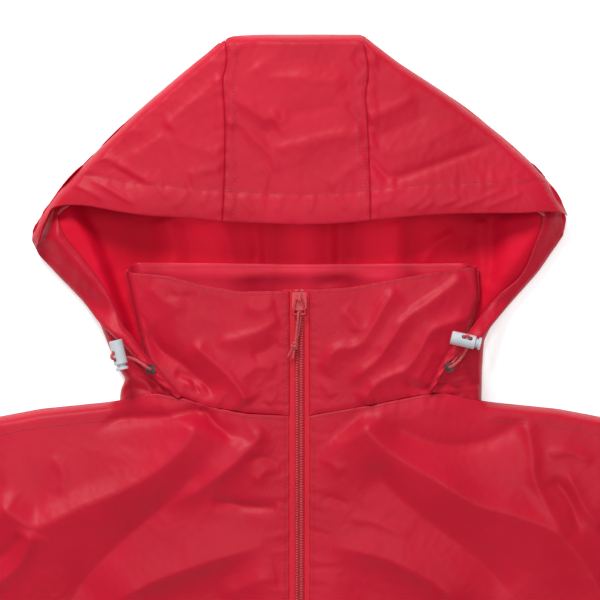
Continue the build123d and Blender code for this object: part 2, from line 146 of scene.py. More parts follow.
def woven(name, dark, light, thread=0.35, roughness=0.5, weave=0.12, sheen=0.03, gloss=0.22):
    """Plain-weave cloth: two crossed sets of threads, faint colour variation and uneven gloss."""
    material, nodes, links, shader = new_material(name)
    place = add_node(nodes, "TexCoord")
    waves = []
    for direction in ("X", "Y"):
        wave = add_node(nodes, "TexWave", Scale=1.0 / (thread * MM * 6.2832) * 2, Distortion=0.6)
        wave.wave_type = "BANDS"
        wave.bands_direction = direction
        links.new(place.outputs["Object"], wave.inputs["Vector"])
        waves.append(wave)
    weave_height = add_node(nodes, "Math")
    weave_height.operation = "MULTIPLY"
    links.new(waves[0].outputs["Fac"], weave_height.inputs[0])
    links.new(waves[1].outputs["Fac"], weave_height.inputs[1])
    crinkle = add_node(nodes, "TexNoise", Scale=190, Detail=5)
    links.new(place.outputs["Object"], crinkle.inputs["Vector"])
    crinkle_bump = add_node(nodes, "Bump", Strength=0.22, Distance=0.0006)
    links.new(crinkle.outputs["Fac"], crinkle_bump.inputs["Height"])
    weave_bump = add_node(nodes, "Bump", Strength=weave, Distance=0.0001)
    links.new(weave_height.outputs[0], weave_bump.inputs["Height"])
    links.new(crinkle_bump.outputs["Normal"], weave_bump.inputs["Normal"])
    links.new(weave_bump.outputs["Normal"], shader.inputs["Normal"])
    tone = add_node(nodes, "TexNoise", Scale=14, Detail=3)
    links.new(place.outputs["Object"], tone.inputs["Vector"])
    ramp = two_colour_ramp(nodes, dark, light)
    links.new(tone.outputs["Fac"], ramp.inputs["Fac"])
    links.new(ramp.outputs["Color"], shader.inputs["Base Color"])
    rough = add_node(nodes, "MapRange", To_Min=roughness - 0.05, To_Max=roughness + 0.07)
    links.new(crinkle.outputs["Fac"], rough.inputs["Value"])
    links.new(rough.outputs["Result"], shader.inputs["Roughness"])
    shader.inputs["Sheen Weight"].default_value = sheen
    shader.inputs["Sheen Roughness"].default_value = 0.5
    shader.inputs["Sheen Tint"].default_value = (1.0, 0.45, 0.5, 1)
    shader.inputs["Specular IOR Level"].default_value = gloss
    return material


def braided(name, dark, light, scale):
    """Braided cord: the small lozenges of its two slanted sets of strands, drawn as a pattern of cells."""
    material, nodes, links, shader = new_material(name)
    place = add_node(nodes, "TexCoord")
    cells = add_node(nodes, "TexVoronoi", Scale=scale)
    links.new(place.outputs["Object"], cells.inputs["Vector"])
    ramp = two_colour_ramp(nodes, light, dark, 0.1, 0.7)
    links.new(cells.outputs["Distance"], ramp.inputs["Fac"])
    links.new(ramp.outputs["Color"], shader.inputs["Base Color"])
    bump = add_node(nodes, "Bump", Strength=0.5, Distance=0.0002)
    bump.invert = True
    links.new(cells.outputs["Distance"], bump.inputs["Height"])
    links.new(bump.outputs["Normal"], shader.inputs["Normal"])
    shader.inputs["Roughness"].default_value = 0.6
    shader.inputs["Sheen Weight"].default_value = 0.3
    return material


def moulded(name, dark, light, roughness, metallic=0.0, coat=0.0):
    """Plastic or metal with faint clouding, fine grain and worn, lighter edges."""
    material, nodes, links, shader = new_material(name)
    place = add_node(nodes, "TexCoord")
    cloud = add_node(nodes, "TexNoise", Scale=160, Detail=4)
    links.new(place.outputs["Object"], cloud.inputs["Vector"])
    edge = add_node(nodes, "NewGeometry")
    wear = add_node(nodes, "MapRange", From_Min=0.5, From_Max=0.62)
    links.new(edge.outputs["Pointiness"], wear.inputs["Value"])
    blend = add_node(nodes, "Math")
    blend.operation = "MULTIPLY_ADD"
    blend.inputs[1].default_value = 0.35
    links.new(wear.outputs["Result"], blend.inputs[0])
    links.new(cloud.outputs["Fac"], blend.inputs[2])
    ramp = two_colour_ramp(nodes, dark, light, 0.3, 0.85)
    links.new(blend.outputs[0], ramp.inputs["Fac"])
    links.new(ramp.outputs["Color"], shader.inputs["Base Color"])
    gloss = add_node(nodes, "MapRange", To_Min=roughness + 0.08, To_Max=max(roughness - 0.08, 0.05))
    links.new(cloud.outputs["Fac"], gloss.inputs["Value"])
    links.new(gloss.outputs["Result"], shader.inputs["Roughness"])
    grain = add_node(nodes, "Bump", Strength=0.15, Distance=0.00005)
    links.new(cloud.outputs["Fac"], grain.inputs["Height"])
    links.new(grain.outputs["Normal"], shader.inputs["Normal"])
    shader.inputs["Metallic"].default_value = metallic
    shader.inputs["Coat Weight"].default_value = coat
    return material


def add_painted_glow(material, half_width, fade, strength, colour=(0.55, 0.012, 0.03, 1)):
    """Painted light: a red glow emitted from the middle of the cloth, standing in for light through the thin
    cloth and lifting its shade; made uneven by stretched noise.
    """
    nodes, links = material.node_tree.nodes, material.node_tree.links
    shader = next(node for node in nodes if node.type == "BSDF_PRINCIPLED")
    place = add_node(nodes, "TexCoord")
    parts = add_node(nodes, "SeparateXYZ")
    away = add_node(nodes, "Math")
    away.operation = "ABSOLUTE"
    middle = add_node(nodes, "MapRange", From_Min=half_width, From_Max=half_width + fade,
                      To_Min=strength, To_Max=0.0)
    middle.interpolation_type = "SMOOTHSTEP"
    stretch = add_node(nodes, "Mapping", Scale=(34.0, 5.0, 1.0))
    folds = add_node(nodes, "TexNoise", Scale=1.0, Detail=1.0)
    contrast = add_node(nodes, "MapRange", From_Min=0.3, From_Max=0.7, To_Min=0.35, To_Max=1.5)
    amount = add_node(nodes, "Math")
    amount.operation = "MULTIPLY"
    links.new(place.outputs["Object"], parts.inputs[0])
    links.new(parts.outputs["X"], away.inputs[0])
    links.new(away.outputs[0], middle.inputs["Value"])
    links.new(place.outputs["Object"], stretch.inputs["Vector"])
    links.new(stretch.outputs[0], folds.inputs["Vector"])
    links.new(folds.outputs[0], contrast.inputs["Value"])
    links.new(middle.outputs[0], amount.inputs[0])
    links.new(contrast.outputs[0], amount.inputs[1])
    # painted light: the cloth emits this red glow, strongest in the middle and fading to none at the sides
    shader.inputs["Emission Color"].default_value = colour
    links.new(amount.outputs[0], shader.inputs["Emission Strength"])


SHELL_RED = (0.42, 0.0040, 0.0195, 1), (0.48, 0.0052, 0.0250, 1)
# The inside red is the shell red made brighter and more saturated: painted light, standing in for light
# through the thin cloth and in the hood's cavity.
LIT_INSIDE_RED = (0.52, 0.0026, 0.019, 1), (0.58, 0.0040, 0.025, 1)
OUTER = woven("shell_outer", *SHELL_RED, roughness=0.44, gloss=0.16)
INNER = woven("shell_inner", *LIT_INSIDE_RED, roughness=0.6, sheen=0.0, gloss=0.08)
# The cloth seen inside the hood: the lit inside red with a painted glow, painted light that lifts the shade
# under the brim.
HOOD_INSIDE_GLOW = woven("hood_inside_painted_glow", *LIT_INSIDE_RED, roughness=0.6, sheen=0.0, gloss=0.08)
add_painted_glow(HOOD_INSIDE_GLOW, 0.075, 0.06, 0.30)
# The inside of the collar's back: shell red with a painted glow, painted light that lifts the shade behind
# the collar front.
COLLAR_BACK_GLOW = woven("collar_inside_painted_glow", *SHELL_RED, roughness=0.44, gloss=0.16)
add_painted_glow(COLLAR_BACK_GLOW, 0.11, 0.03, 0.30, (0.55, 0.03, 0.06, 1))
TAPE = woven("zip_tape_weave", (0.52, 0.0035, 0.018, 1), (0.58, 0.0055, 0.024, 1), thread=0.6, weave=0.4)
LINING = woven("pocket_lining_weave", (0.36, 0.006, 0.018, 1), (0.42, 0.008, 0.024, 1), roughness=0.65)
RIBBON = woven("ribbon_weave", (0.36, 0.010, 0.02, 1), (0.44, 0.014, 0.028, 1), thread=0.8, weave=0.7)
THREAD = braided("stitch_thread", (0.20, 0.002, 0.010, 1), (0.40, 0.008, 0.024, 1), 2600)
CORD = braided("cord_braid", (0.42, 0.015, 0.025, 1), (0.62, 0.07, 0.075, 1), 1500)
COIL = moulded("coil_plastic", (0.44, 0.008, 0.02, 1), (0.56, 0.02, 0.038, 1), 0.42)
PAINT = moulded("slider_paint", (0.44, 0.004, 0.016, 1), (0.52, 0.006, 0.022, 1), 0.4, coat=0.0)
LOCK = moulded("lock_plastic_grey", (0.40, 0.43, 0.46, 1), (0.50, 0.53, 0.56, 1), 0.42)
STEEL = moulded("spring_steel_bright", (0.45, 0.45, 0.45, 1), (0.75, 0.75, 0.75, 1), 0.3, metallic=1.0)
EYELET = moulded("eyelet_dark_metal", (0.012, 0.008, 0.008, 1), (0.07, 0.05, 0.05, 1), 0.42, metallic=1.0)


# ---------------------------------------------------------------- shapes on the flat

def smooth(t):
    t = np.clip(t, 0.0, 1.0)
    return t * t * (3 - 2 * t)


def spaced(points, shares):
    """Points at the given shares of a polyline's length."""
    p = np.array(points, float)
    steps = np.hypot(*(p[1:] - p[:-1]).T)
    along = np.concatenate([[0], np.cumsum(steps)])
    along /= along[-1]
    return np.stack([np.interp(shares, along, p[:, k]) for k in range(2)], -1)


def rounded(points, steps=8):
    """A smooth curve through the points."""
    p = np.array(points, float)
    ends = np.vstack([2 * p[0] - p[1], p, 2 * p[-1] - p[-2]])
    out = []
    for a, b, c, d in zip(ends, ends[1:], ends[2:], ends[3:]):
        for t in np.linspace(0, 1, steps, endpoint=False):
            out.append(0.5 * (2 * b + (c - a) * t + (2 * a - 5 * b + 4 * c - d) * t ** 2
                              + (3 * b - a - 3 * c + d) * t ** 3))
    return np.array(out + [p[-1]])


def four_sided(bottom, top, left, right, us, vs):
    """A grid of points between four edges that meet at the corners."""
    b, t = spaced(bottom, us), spaced(top, us)
    l, r = spaced(left, vs), spaced(right, vs)
    u, v = us[None, :, None], vs[:, None, None]
    flat = (1 - v) * b[None] + v * t[None] + (1 - u) * l[:, None] + u * r[:, None]
    corners = ((1 - u) * (1 - v) * b[0] + u * (1 - v) * b[-1] + (1 - u) * v * t[0] + u * v * t[-1])
    return flat - corners


def nearest(points, x, y):
    """Distance to a polyline, which side of it (+1 is left of its direction) and how far along it."""
    p = np.array(points, float)
    steps = np.hypot(*(p[1:] - p[:-1]).T)
    total = steps.sum()
    best = np.full(x.shape, 1e9)
    side = np.zeros(x.shape)
    share = np.zeros(x.shape)
    done = 0.0
    for a, b, length in zip(p, p[1:], steps):
        dx, dy = (b - a) / length
        along = np.clip((x - a[0]) * dx + (y - a[1]) * dy, 0, length)
        ox, oy = x - a[0] - along * dx, y - a[1] - along * dy
        d = np.hypot(ox, oy)
        closer = d < best
        best = np.where(closer, d, best)
        side = np.where(closer, np.sign(dx * oy - dy * ox), side)
        share = np.where(closer, (done + along) / total, share)
        done += length
    return best, side, share


def fold(x, y, points, width, height, fade=(0.12, 0.2), skew=1.0):
    """A soft ridge, or with a negative height a valley, along a line; skew widens its left side."""
    d, side, t = nearest(rounded(points, 5), x, y)
    w = np.where(side > 0, width * skew, width)
    ends = smooth(t / max(fade[0], 1e-3)) * smooth((1 - t) / max(fade[1], 1e-3))
    return height * np.exp(-(d / w) ** 1.35) * ends


def roll(d, radius, crisp=0.62):
    """How cloth rises from a folded edge: a small quarter circle, then a long gentle slope."""
    turn = np.clip(d / (radius * 0.28), 0, 1)
    slope = smooth(d / (radius * 2.2))
    return crisp * np.sqrt(np.clip(1 - (1 - turn) ** 2, 0, 1)) + (1 - crisp) * slope


def crumple(x, y, size, seed):
    """Uneven cloth: smooth noise with soft creases, between about -1 and 1."""
    out = np.empty(x.shape)
    for index in np.ndindex(x.shape):
        place = Vector((x[index] / size + seed, y[index] / size - seed, seed * 0.37))
        broad = noise.noise(place)
        crease = 1 - 2 * abs(noise.noise(place * 2.1 + Vector((7.3, 1.1, 0))))
        out[index] = 0.7 * broad + 0.3 * crease
    return out


# ---------------------------------------------------------------- meshes

def link_mesh(name, vertices, faces, materials, body="jacket"):
    mesh = bpy.data.meshes.new(name)
    mesh.from_pydata([tuple(v) for v in vertices], [], [tuple(f) for f in faces])
    for material in materials:
        mesh.materials.append(material)
    mesh.polygons.foreach_set("use_smooth", [True] * len(mesh.polygons))
    mesh.update()
    piece = bpy.data.objects.new(name, mesh)
    bpy.context.scene.collection.objects.link(piece)
    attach(piece, body)
    return piece


def to_frame(points):
    p = np.asarray(points, float).reshape(-1, 3)
    return (p + np.array([0, NECK, 0])) * MM


def grid_faces(rows, columns):
    index = np.arange(rows * columns).reshape(rows, columns)
    quads = [index[:-1, :-1], index[:-1, 1:], index[1:, 1:], index[1:, :-1]]
    return np.stack([q.ravel() for q in quads], -1)


def facing_up(points, faces):
    """The faces turned so that most of them look up."""
    a, b, c = (points[faces[:, k]] for k in (0, 1, 2))
    up = np.cross(b - a, c - a)[:, 2].sum()
    return faces if up > 0 else faces[:, ::-1]


def simulate(piece, rows, columns, growth, stiffness, steps=14, hold=0.45):
    """Lets the cloth buckle between its sewn edges, then keeps the result as the mesh."""
    group = piece.vertex_groups.new(name="sewn")
    for r in range(rows):
        for c in range(columns):
            edge = min(r, c, rows - 1 - r, columns - 1 - c)
            weight = (1.0, 0.9, 0.75)[edge] if edge < 3 else hold
            group.add([r * columns + c], weight, "REPLACE")
    cloth = piece.modifiers.new("cloth", "CLOTH")
    settings = cloth.settings
    settings.quality = 5
    settings.mass = 0.12
    settings.tension_stiffness = 18
    settings.compression_stiffness = 18
    settings.shear_stiffness = 8
    settings.bending_stiffness = stiffness
    settings.air_damping = 4
    settings.vertex_group_mass = "sewn"
    settings.shrink_min = -growth
    settings.effector_weights.gravity = 0.0
    cloth.collision_settings.use_self_collision = False
    cloth.point_cache.frame_start = 1
    cloth.point_cache.frame_end = steps
    scene = bpy.context.scene
    for step in range(1, steps + 1):
        scene.frame_set(step)
    view = bpy.context.evaluated_depsgraph_get()
    moved = piece.evaluated_get(view).to_mesh()
    co = np.empty(len(moved.vertices) * 3, np.float32)
    moved.vertices.foreach_get("co", co)
    piece.evaluated_get(view).to_mesh_clear()
    piece.modifiers.remove(cloth)
    scene.frame_set(1)
    start = np.empty(len(piece.data.vertices) * 3, np.float32)
    piece.data.vertices.foreach_get("co", start)
    limit = 5.0 * MM
    change = np.clip(co - start, -limit, limit)
    piece.data.vertices.foreach_set("co", start + change)
    piece.data.update()


surfaces = {}


def panel(name, grid, nodes, cloth=None, outer=OUTER, inner=INNER, up=True):
    """One cut piece of cloth from a grid of points: outer cloth on top, inner cloth beneath."""
    rows, columns = grid.shape[:2]
    vertices = to_frame(grid)
    faces = facing_up(vertices, grid_faces(rows, columns))
    if not up:
        faces = faces[:, ::-1]
    piece = link_mesh(name, vertices, faces, [outer, inner])
    if cloth:
        simulate(piece, rows, columns, **cloth)
    surfaces[name] = piece
    refine = piece.modifiers.new("refine", "SUBSURF")
    refine.levels = 1
    refine.render_levels = 1
    thick = piece.modifiers.new("thickness", "SOLIDIFY")
    thick.thickness = CLOTH * MM
    thick.offset = -1
    thick.material_offset = 1
    thick.material_offset_rim = 0
    if nodes:
        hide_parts(*nodes)
    return piece


def height_finder(names):
    """A function that gives the top of the named panels at a place, in millimetres."""
    trees = []
    for name in names:
        mesh = surfaces[name].data
        vertices = [v.co.copy() for v in mesh.vertices]
        trees.append(BVHTree.FromPolygons(vertices, [tuple(p.vertices) for p in mesh.polygons]))

    def top(x, y):
        best = None
        for tree in trees:
            hit = tree.ray_cast(Vector((x * MM, (y + NECK) * MM, 0.2)), Vector((0, 0, -1)))
            if hit[0] is not None and (best is None or hit[0].z > best):
                best = hit[0].z
        return None if best is None else best / MM

    return top


THREAD_RADIUS = 0.3
THREAD_SINK = 0.05


def stitches(name, lines, names, pitch=2.6, length=1.7):
    """A row of thread stitches lying on the cloth along each line."""
    top = height_finder(names)
    vertices, faces = [], []
    sides = 5
    for line in lines:
        curve = np.array(line, float)
        steps = np.hypot(*(curve[1:] - curve[:-1]).T)
        total = steps.sum()
        count = int(total / pitch)
        starts = (np.arange(count) + 0.5) * pitch / total
        a = spaced(curve, np.clip(starts - length / 2 / total, 0, 1))
        b = spaced(curve, np.clip(starts + length / 2 / total, 0, 1))
        for p, q in zip(a, b):
            za, zb = top(*p), top(*q)
            if za is None or zb is None or abs(za - zb) > 1.6:
                continue
            start = np.array([p[0], p[1], za - THREAD_SINK])
            end = np.array([q[0], q[1], zb - THREAD_SINK])
            axis = end - start
            size = np.linalg.norm(axis)
            if size < 0.3:
                continue
            axis /= size
            across = np.cross(axis, [0, 0, 1.0])
            across /= np.linalg.norm(across)
            lift = np.cross(across, axis)
            base = len(vertices)
            for share, scale in ((0.0, 0.35), (0.25, 1.0), (0.75, 1.0), (1.0, 0.35)):
                rise = 0.5 if 0 < share < 1 else 0.1
                centre = start + axis * size * share + lift * THREAD_RADIUS * rise
                for k in range(sides):
                    angle = 2 * math.pi * k / sides
                    around = across * math.cos(angle) + lift * math.sin(angle)
                    offset = around * THREAD_RADIUS * scale
                    vertices.append(centre + offset)
            for ring in range(3):
                for k in range(sides):
                    n = (k + 1) % sides
                    faces.append((base + ring * sides + k, base + ring * sides + n,
                                  base + (ring + 1) * sides + n, base + (ring + 1) * sides + k))
            faces.append(tuple(base + k for k in reversed(range(sides))))
            faces.append(tuple(base + 3 * sides + k for k in range(sides)))
    piece = link_mesh(name, to_frame(vertices), faces, [THREAD])
    return piece


def mirror(points):
    return [(-x, y) for x, y in points]


def on_side(side, points):
    """Points of the wearer's left (1), or the same mirrored to the right (-1)."""
    return [(side * x, y) for x, y in points]


SIDES = ((1, "left"), (-1, "right"))


# ---------------------------------------------------------------- outlines

SHOULDER = [(106, 5), (135, -1.5), (190, -7), (222, -13), (248, -21)]
ARMHOLE = [(248, -21), (236, -60), (232, -110), (240, -190), (258, -228), (285, -255)]
SIDE = [(285, -255), (282, -420), (280, HEM_Y)]
SLEEVE_OUT = [(248, -21), (268, -42), (283, -90), (330, -245), (392, -444), (450, -632)]
SLEEVE_IN = [(285, -255), (312, -420), (349, -659)]
CUFF = [(349, -659), (450, -632)]
NECK_SEAM = {
    1: [(7, -11.6), (34, -7), (59, -2.5), (92, 4), (106, 5)],
    -1: [(-7, -11.6), (-39, -10), (-66, -5), (-83, 1), (-106, 5)],
}
COLLAR_TOP = {
    1: [(7, 80), (37, 82), (74, 88.5), (103, 94), (131, 97.5)],
    -1: [(-7, 79.5), (-43, 79), (-72, 84), (-94, 90), (-128, 93.5)],
}
COLLAR_SIDE = {
    1: [(106, 5), (124, 48), (132, 75), (131, 97.5)],
    -1: [(-106, 5), (-117, 48), (-124, 76), (-128, 93.5)],
}
HOOD_LEFT_SIDE = [(-132, -1.5), (-131, 8), (-128, 15), (-134, 24), (-139, 36), (-147, 57), (-160, 73),
                  (-182, 96), (-193.5, 110.8), (-196, 120), (-190, 134), (-178, 151), (-149, 182),
                  (-116, 214), (-80, 245), (-54, HOOD_TOP_Y)]
HOOD_RIGHT_SIDE = [(134, -1.5), (134.5, 22), (136, 43), (141, 54), (153, 68), (165, 82), (176, 94.5),
                   (191, 116.5), (195, 124), (197, 135), (182, 161), (169, 175), (139, 201), (110, 223),
                   (74, 247), (47, HOOD_TOP_Y)]
BRIM = {
    -1: [(-193.5, 110.8), (-190, 116), (-187.5, 125), (-184, 133), (-180.6, 139.5), (-172, 142),
         (-154, 141.5), (-132, 137.5), (-111, 134.5), (-87, 133), (-56, 130)],
    0: [(-56, 130), (-40, 129.4), (-18, 128.6), (5, 128), (30, 129), (52, 131)],
    1: [(52, 131), (88, 134.5), (117, 136), (161, 136.5), (180, 137.5), (190, 137), (197, 135)],
}
SEAM_LEFT = [(-56, 130), (-54.5, 160), (-54, 200), (-55.5, 232), (-53, 246), (-54, HOOD_TOP_Y - 4.5)]
SEAM_RIGHT = [(52, 131), (51.5, 160), (50, 200), (48.5, 222), (50.5, 240), (46, HOOD_TOP_Y - 0.6)]


# ---------------------------------------------------------------- heights of the front

BODY_EDGE = {
    1: [(140, -2.0), (190, -7), (222, -13), (248, -21), (268, -42), (283, -90), (392, -444), (450, -632)],
}
POCKET_CENTRE = (178.0, -505.0)
POCKET_TURN = 9.0
POCKET_ZIP = 160.0
POCKET_Z = 21.5             # the cloth just under the pocket zip's tape
INNER_EDGE = [(349, -659), (312, -420), (285, -255), (282, -420), (280, HEM_Y)]

# Each fold: its crest (or, with a negative height, its trough), width, height, how soon it fades at both
# ends, and how much wider its left side is. The folds of the chest are drawn outwards from the zip.
CHEST_FOLDS = [
    # wearer's right of the zip
    ([(-72, -10), (-84, -33), (-105, -52), (-130, -66), (-160, -78), (-190, -92), (-207, -85), (-228, -70)],
     13, 7.6, (0.07, 0.1), 2.3),
    ([(-24, -20), (-38, -36), (-55, -52), (-78, -68), (-98, -80)], 8, 3.2, (0.1, 0.3), 1.0),
    ([(-68, -75), (-50, -76), (-40, -78), (-14, -79)], 3.2, -2.4, (0.3, 0.1), 1.0),
    ([(-14, -101), (-40, -110), (-75, -121), (-112, -135), (-150, -158)], 22, 5.6, (0.3, 0.25), 0.55),
    ([(-70, -7), (-95, -12), (-130, -14), (-152, -23)], 4.2, -2.8, (0.04, 0.3), 1.0),
    ([(-70, -6), (-60, -20), (-45, -31)], 3.2, -2.8, (0.04, 0.3), 1.0),
    ([(-62, -44), (-90, -70), (-122, -97), (-152, -126), (-176, -160)], 11, -2.8, (0.15, 0.2), 1.0),
    ([(-14, -46), (-28, -42), (-38, -45)], 2.6, -1.4, (0.15, 0.2), 1.0),
    ([(-13, -51), (-24, -52), (-34, -61)], 4, 1.3, (0.1, 0.2), 1.0),
    ([(-195, -95), (-203, -118), (-226, -140)], 7, 2.8, (0.1, 0.2), 1.0),
    ([(-203, -98), (-214, -112), (-232, -120)], 3.5, -1.6, (0.1, 0.2), 1.0),
    ([(-182, -40), (-172, -55), (-176, -72)], 5, 0.9, (0.2, 0.3), 1.0),
    ([(-14, -129), (-36, -134), (-60, -146)], 10, 2.2, (0.1, 0.3), 1.0),
    # wearer's left of the zip
    ([(42, -11), (56, -29), (76, -44), (101, -59), (131, -76), (165, -86), (190, -99), (215, -130),
      (234, -180)],
     29, 7.6, (0.05, 0.1), 0.42),
    ([(14, -105), (45, -111), (75, -121), (104, -138), (130, -165)], 12, 5.4, (0.3, 0.25), 1.7),
    ([(46, -42), (72, -70), (102, -95), (132, -118), (160, -150)], 11, -2.6, (0.15, 0.2), 1.0),
    ([(165, -14), (170, -35), (172, -58), (185, -84), (198, -102)], 5, 2.4, (0.1, 0.15), 1.0),
    ([(60, -16), (92, -31), (122, -34), (150, -25), (167, -12)], 9, -2.6, (0.15, 0.15), 1.0),
    ([(180, -40), (198, -38), (216, -46)], 3.6, 1.3, (0.2, 0.2), 1.0),
    ([(184, -56), (198, -74), (205, -100)], 3.2, -1.7, (0.15, 0.2), 1.0),
    ([(194, -50), (208, -78), (224, -98)], 4, 1.5, (0.2, 0.2), 1.0),
    ([(34, -86), (58, -90), (82, -101)], 4, 0.9, (0.2, 0.3), 1.0),
    ([(14, -44), (24, -47), (32, -56)], 4, 1.0, (0.1, 0.3), 1.0),
    ([(14, -76), (22, -72), (38, -78)], 3, -1.1, (0.1, 0.3), 1.0),
]
LOWER_FOLDS = [
    ([(-30, -180), (-110, -230), (-215, -300), (-270, -330)], 20, 5.0, (0.2, 0.1), 1.0),
    ([(-40, -300), (-120, -370), (-200, -470)], 18, 4.0, (0.2, 0.3), 1.0),
    ([(-60, -520), (-130, -560), (-250, -585)], 22, 4.0, (0.2, 0.2), 1.0),
    ([(-240, -380), (-225, -500), (-235, -640)], 18, 4.5, (0.2, 0.2), 1.0),
    ([(-110, -430), (-90, -560), (-100, -700)], 20, 3.5, (0.2, 0.1), 1.0),
    ([(30, -200), (120, -260), (225, -310), (270, -345)], 20, 5.0, (0.2, 0.1), 1.0),
    ([(35, -330), (110, -390), (190, -460)], 18, 4.0, (0.2, 0.3), 1.0),
    ([(70, -500), (140, -545), (250, -560)], 22, 4.0, (0.2, 0.2), 1.0),
    ([(245, -390), (230, -520), (238, -650)], 18, 4.5, (0.2, 0.2), 1.0),
    ([(95, -470), (115, -590), (100, -700)], 20, 3.5, (0.2, 0.1), 1.0),
]


def uneven(t):
    """A smooth value between 0 and 1 that never quite repeats."""
    return 0.5 + 0.25 * np.sin(t * 0.83 + 1.4 * np.sin(t * 0.31)) + 0.25 * np.sin(t * 1.91 + 2.0)


def zip_puckers(x, y):
    """Small gathers where the zip's stitching pulls the cloth in, each one fading away from the zip."""
    away = np.clip(np.abs(x) - 9.3, 0, None)
    side = np.sign(x)
    lean = y + side * 3.1 + (0.35 * uneven(y / 19 + side) - 0.1) * away
    fading = np.exp(-away / (5 + 9 * uneven(lean / 6.5 + side * 4)))
    long_ones = fading * np.sin(lean / 2.3 + 3 * uneven(lean / 15))
    short_ones = np.exp(-away / 2.4) * np.sin(lean / 0.95)
    inside = smooth((np.abs(x) - 7.2) / 1.4)
    return inside * (0.62 * uneven(lean / 4.1 + side * 2) ** 2 * long_ones + 0.16 * short_ones)


def seam_gathers(x, y, seam, reach, height, spacing=1.7):
    """Fine gathers square to a sewn seam, stronger in places."""
    d, _, share = nearest(seam, x, y)
    length = np.hypot(*np.diff(np.array(seam, float), axis=0).T).sum()
    along = share * length
    wave = np.sin(along / spacing + 2.6 * uneven(along / 11) + 0.25 * d)
    return height * uneven(along / 5.3) * wave * np.exp(-d / reach)


def zip_fold(x):
    """The turned edge beside the zip: a crisp fold, then a shallow dip under the topstitching."""
    d = np.abs(x) - ZIP_EDGE
    return -0.7 * np.exp(-(d / 0.8) ** 2) - 0.4 * np.exp(-((d - 2.3) / 0.8) ** 2)


def pocket_distance(ax, y):
    """How far a place of the front is from the line of the pocket's zip."""
    turn = math.radians(POCKET_TURN)
    run = np.array([-math.sin(turn), math.cos(turn)]) * (POCKET_ZIP / 2)
    middle = np.array(POCKET_CENTRE)
    return nearest(np.array([middle - run, middle + run]), ax, y)[0]


def front_height(x, y):
    ax = np.abs(x)
    side, _, _ = nearest(BODY_EDGE[1], ax, y)
    inner, _, _ = nearest(INNER_EDGE, ax, y)
    z = 2.6 + (BODY_Z - 3.2) * roll(side, 24) * roll(inner, 30)
    hem = np.clip(y - HEM_Y, 0, None)
    beside_zip = smooth((ax - 15) / 40)
    flat = smooth(side / 14) * smooth(inner / 16)
    z = z * (1 - 0.58 * (1 - smooth(hem / 90)) * beside_zip) - 5.5 * smooth(-y / 150) * beside_zip * flat
    top = np.where(ax < 140, 1.0, 0.0)
    z = z - 1.2 * top * np.exp(-(np.clip(3 - y, 0, 99) / 5.0) ** 2) * smooth((ax - 60) / 30)
    level = smooth((ax - 9) / 22)
    for points, width, height, fade, skew in CHEST_FOLDS + LOWER_FOLDS:
        z = z + 1.4 * fold(x, y, points, width, height, fade, skew) * level * flat
    z = z + (2.2 * crumple(x, y, 85, 3.0) + 0.5 * crumple(x, y, 24, 8.0)) * level * flat
    z = z + (POCKET_Z - z) * (1 - smooth((pocket_distance(ax, y) - 11) / 42))
    for sign in (1, -1):
        near = np.sign(x) == sign
        z = z + near * seam_gathers(x, y, NECK_SEAM[sign], 7.0, 0.7) * smooth((ax - 14) / 40)
    return z + zip_puckers(x, y) + zip_fold(x)


def with_height(flat, height):
    z = height(flat[..., 0], flat[..., 1])
    return np.dstack([flat, z])


def row_shares(fine_length, total, fine, coarse):
    """Shares from 0 to 1 whose rows are close together over the last fine_length."""
    n_coarse = max(int((total - fine_length) / coarse), 1)
    n_fine = max(int(fine_length / fine), 1)
    low = np.linspace(0, 1 - fine_length / total, n_coarse, endpoint=False)
    return np.concatenate([low, np.linspace(1 - fine_length / total, 1, n_fine + 1)])


def column_shares(width, fine_width, fine, coarse):
    n_fine = int(fine_width / fine)
    near = np.linspace(0, fine_width / width, n_fine, endpoint=False)
    return np.concatenate([near, np.linspace(fine_width / width, 1, int((width - fine_width) / coarse) + 1)])


def front_panels():
    for side, name in SIDES:
        top = NECK_SEAM[side] + on_side(side, SHOULDER[1:])
        outer_edge = [(280, HEM_Y)] + SIDE[::-1][1:] + ARMHOLE[::-1][1:]
        outer_edge = on_side(side, outer_edge)
        zip_edge = [(side * ZIP_EDGE, HEM_Y), (side * ZIP_EDGE, -11.6)]
        hem = [(side * ZIP_EDGE, HEM_Y), (side * HALF_HEM, HEM_Y)]
        us = column_shares(273, 24, 1.5, 3.2)
        vs = row_shares(180, 708, 2.6, 6.0)
        flat = four_sided(hem, top, zip_edge, outer_edge, us, vs)
        grid = with_height(flat, front_height)
        panel(f"front_cloth_{name}", grid, [f"front_panel_{name}"],
              cloth={"growth": 0.006, "stiffness": 1.5})


def sleeve_height(x, y):
    ax = np.abs(x)
    out, _, _ = nearest(SLEEVE_OUT, ax, y)
    inner, _, _ = nearest(SLEEVE_IN, ax, y)
    z = 2.6 + (BODY_Z - 3.2) * roll(out, 24) * roll(inner, 30)
    cuff, _, _ = nearest(CUFF, ax, y)
    z = z * (0.55 + 0.45 * smooth(cuff / 60))
    _, _, t = nearest(CUFF, ax, y)
    ribs = np.sin(t * 95 + 1.5 * np.sin(cuff / 9)) * np.exp(-(cuff / 24) ** 2)
    level = smooth(out / 16) * smooth(inner / 16)
    folds = 3.2 * crumple(x * 1.0, y * 1.6, 62, 5.0 + np.sign(x.mean())) + 0.6 * crumple(x, y, 22, 9.0)
    return z + level * (folds * smooth(cuff / 30) + 1.3 * ribs)


def sleeve_outline(side, us, vs):
    cuff = on_side(side, CUFF)
    arm = on_side(side, ARMHOLE[::-1])
    inside = on_side(side, SLEEVE_IN[::-1])
    outside = on_side(side, SLEEVE_OUT[::-1])
    return four_sided(cuff, arm, inside, outside, us, vs)


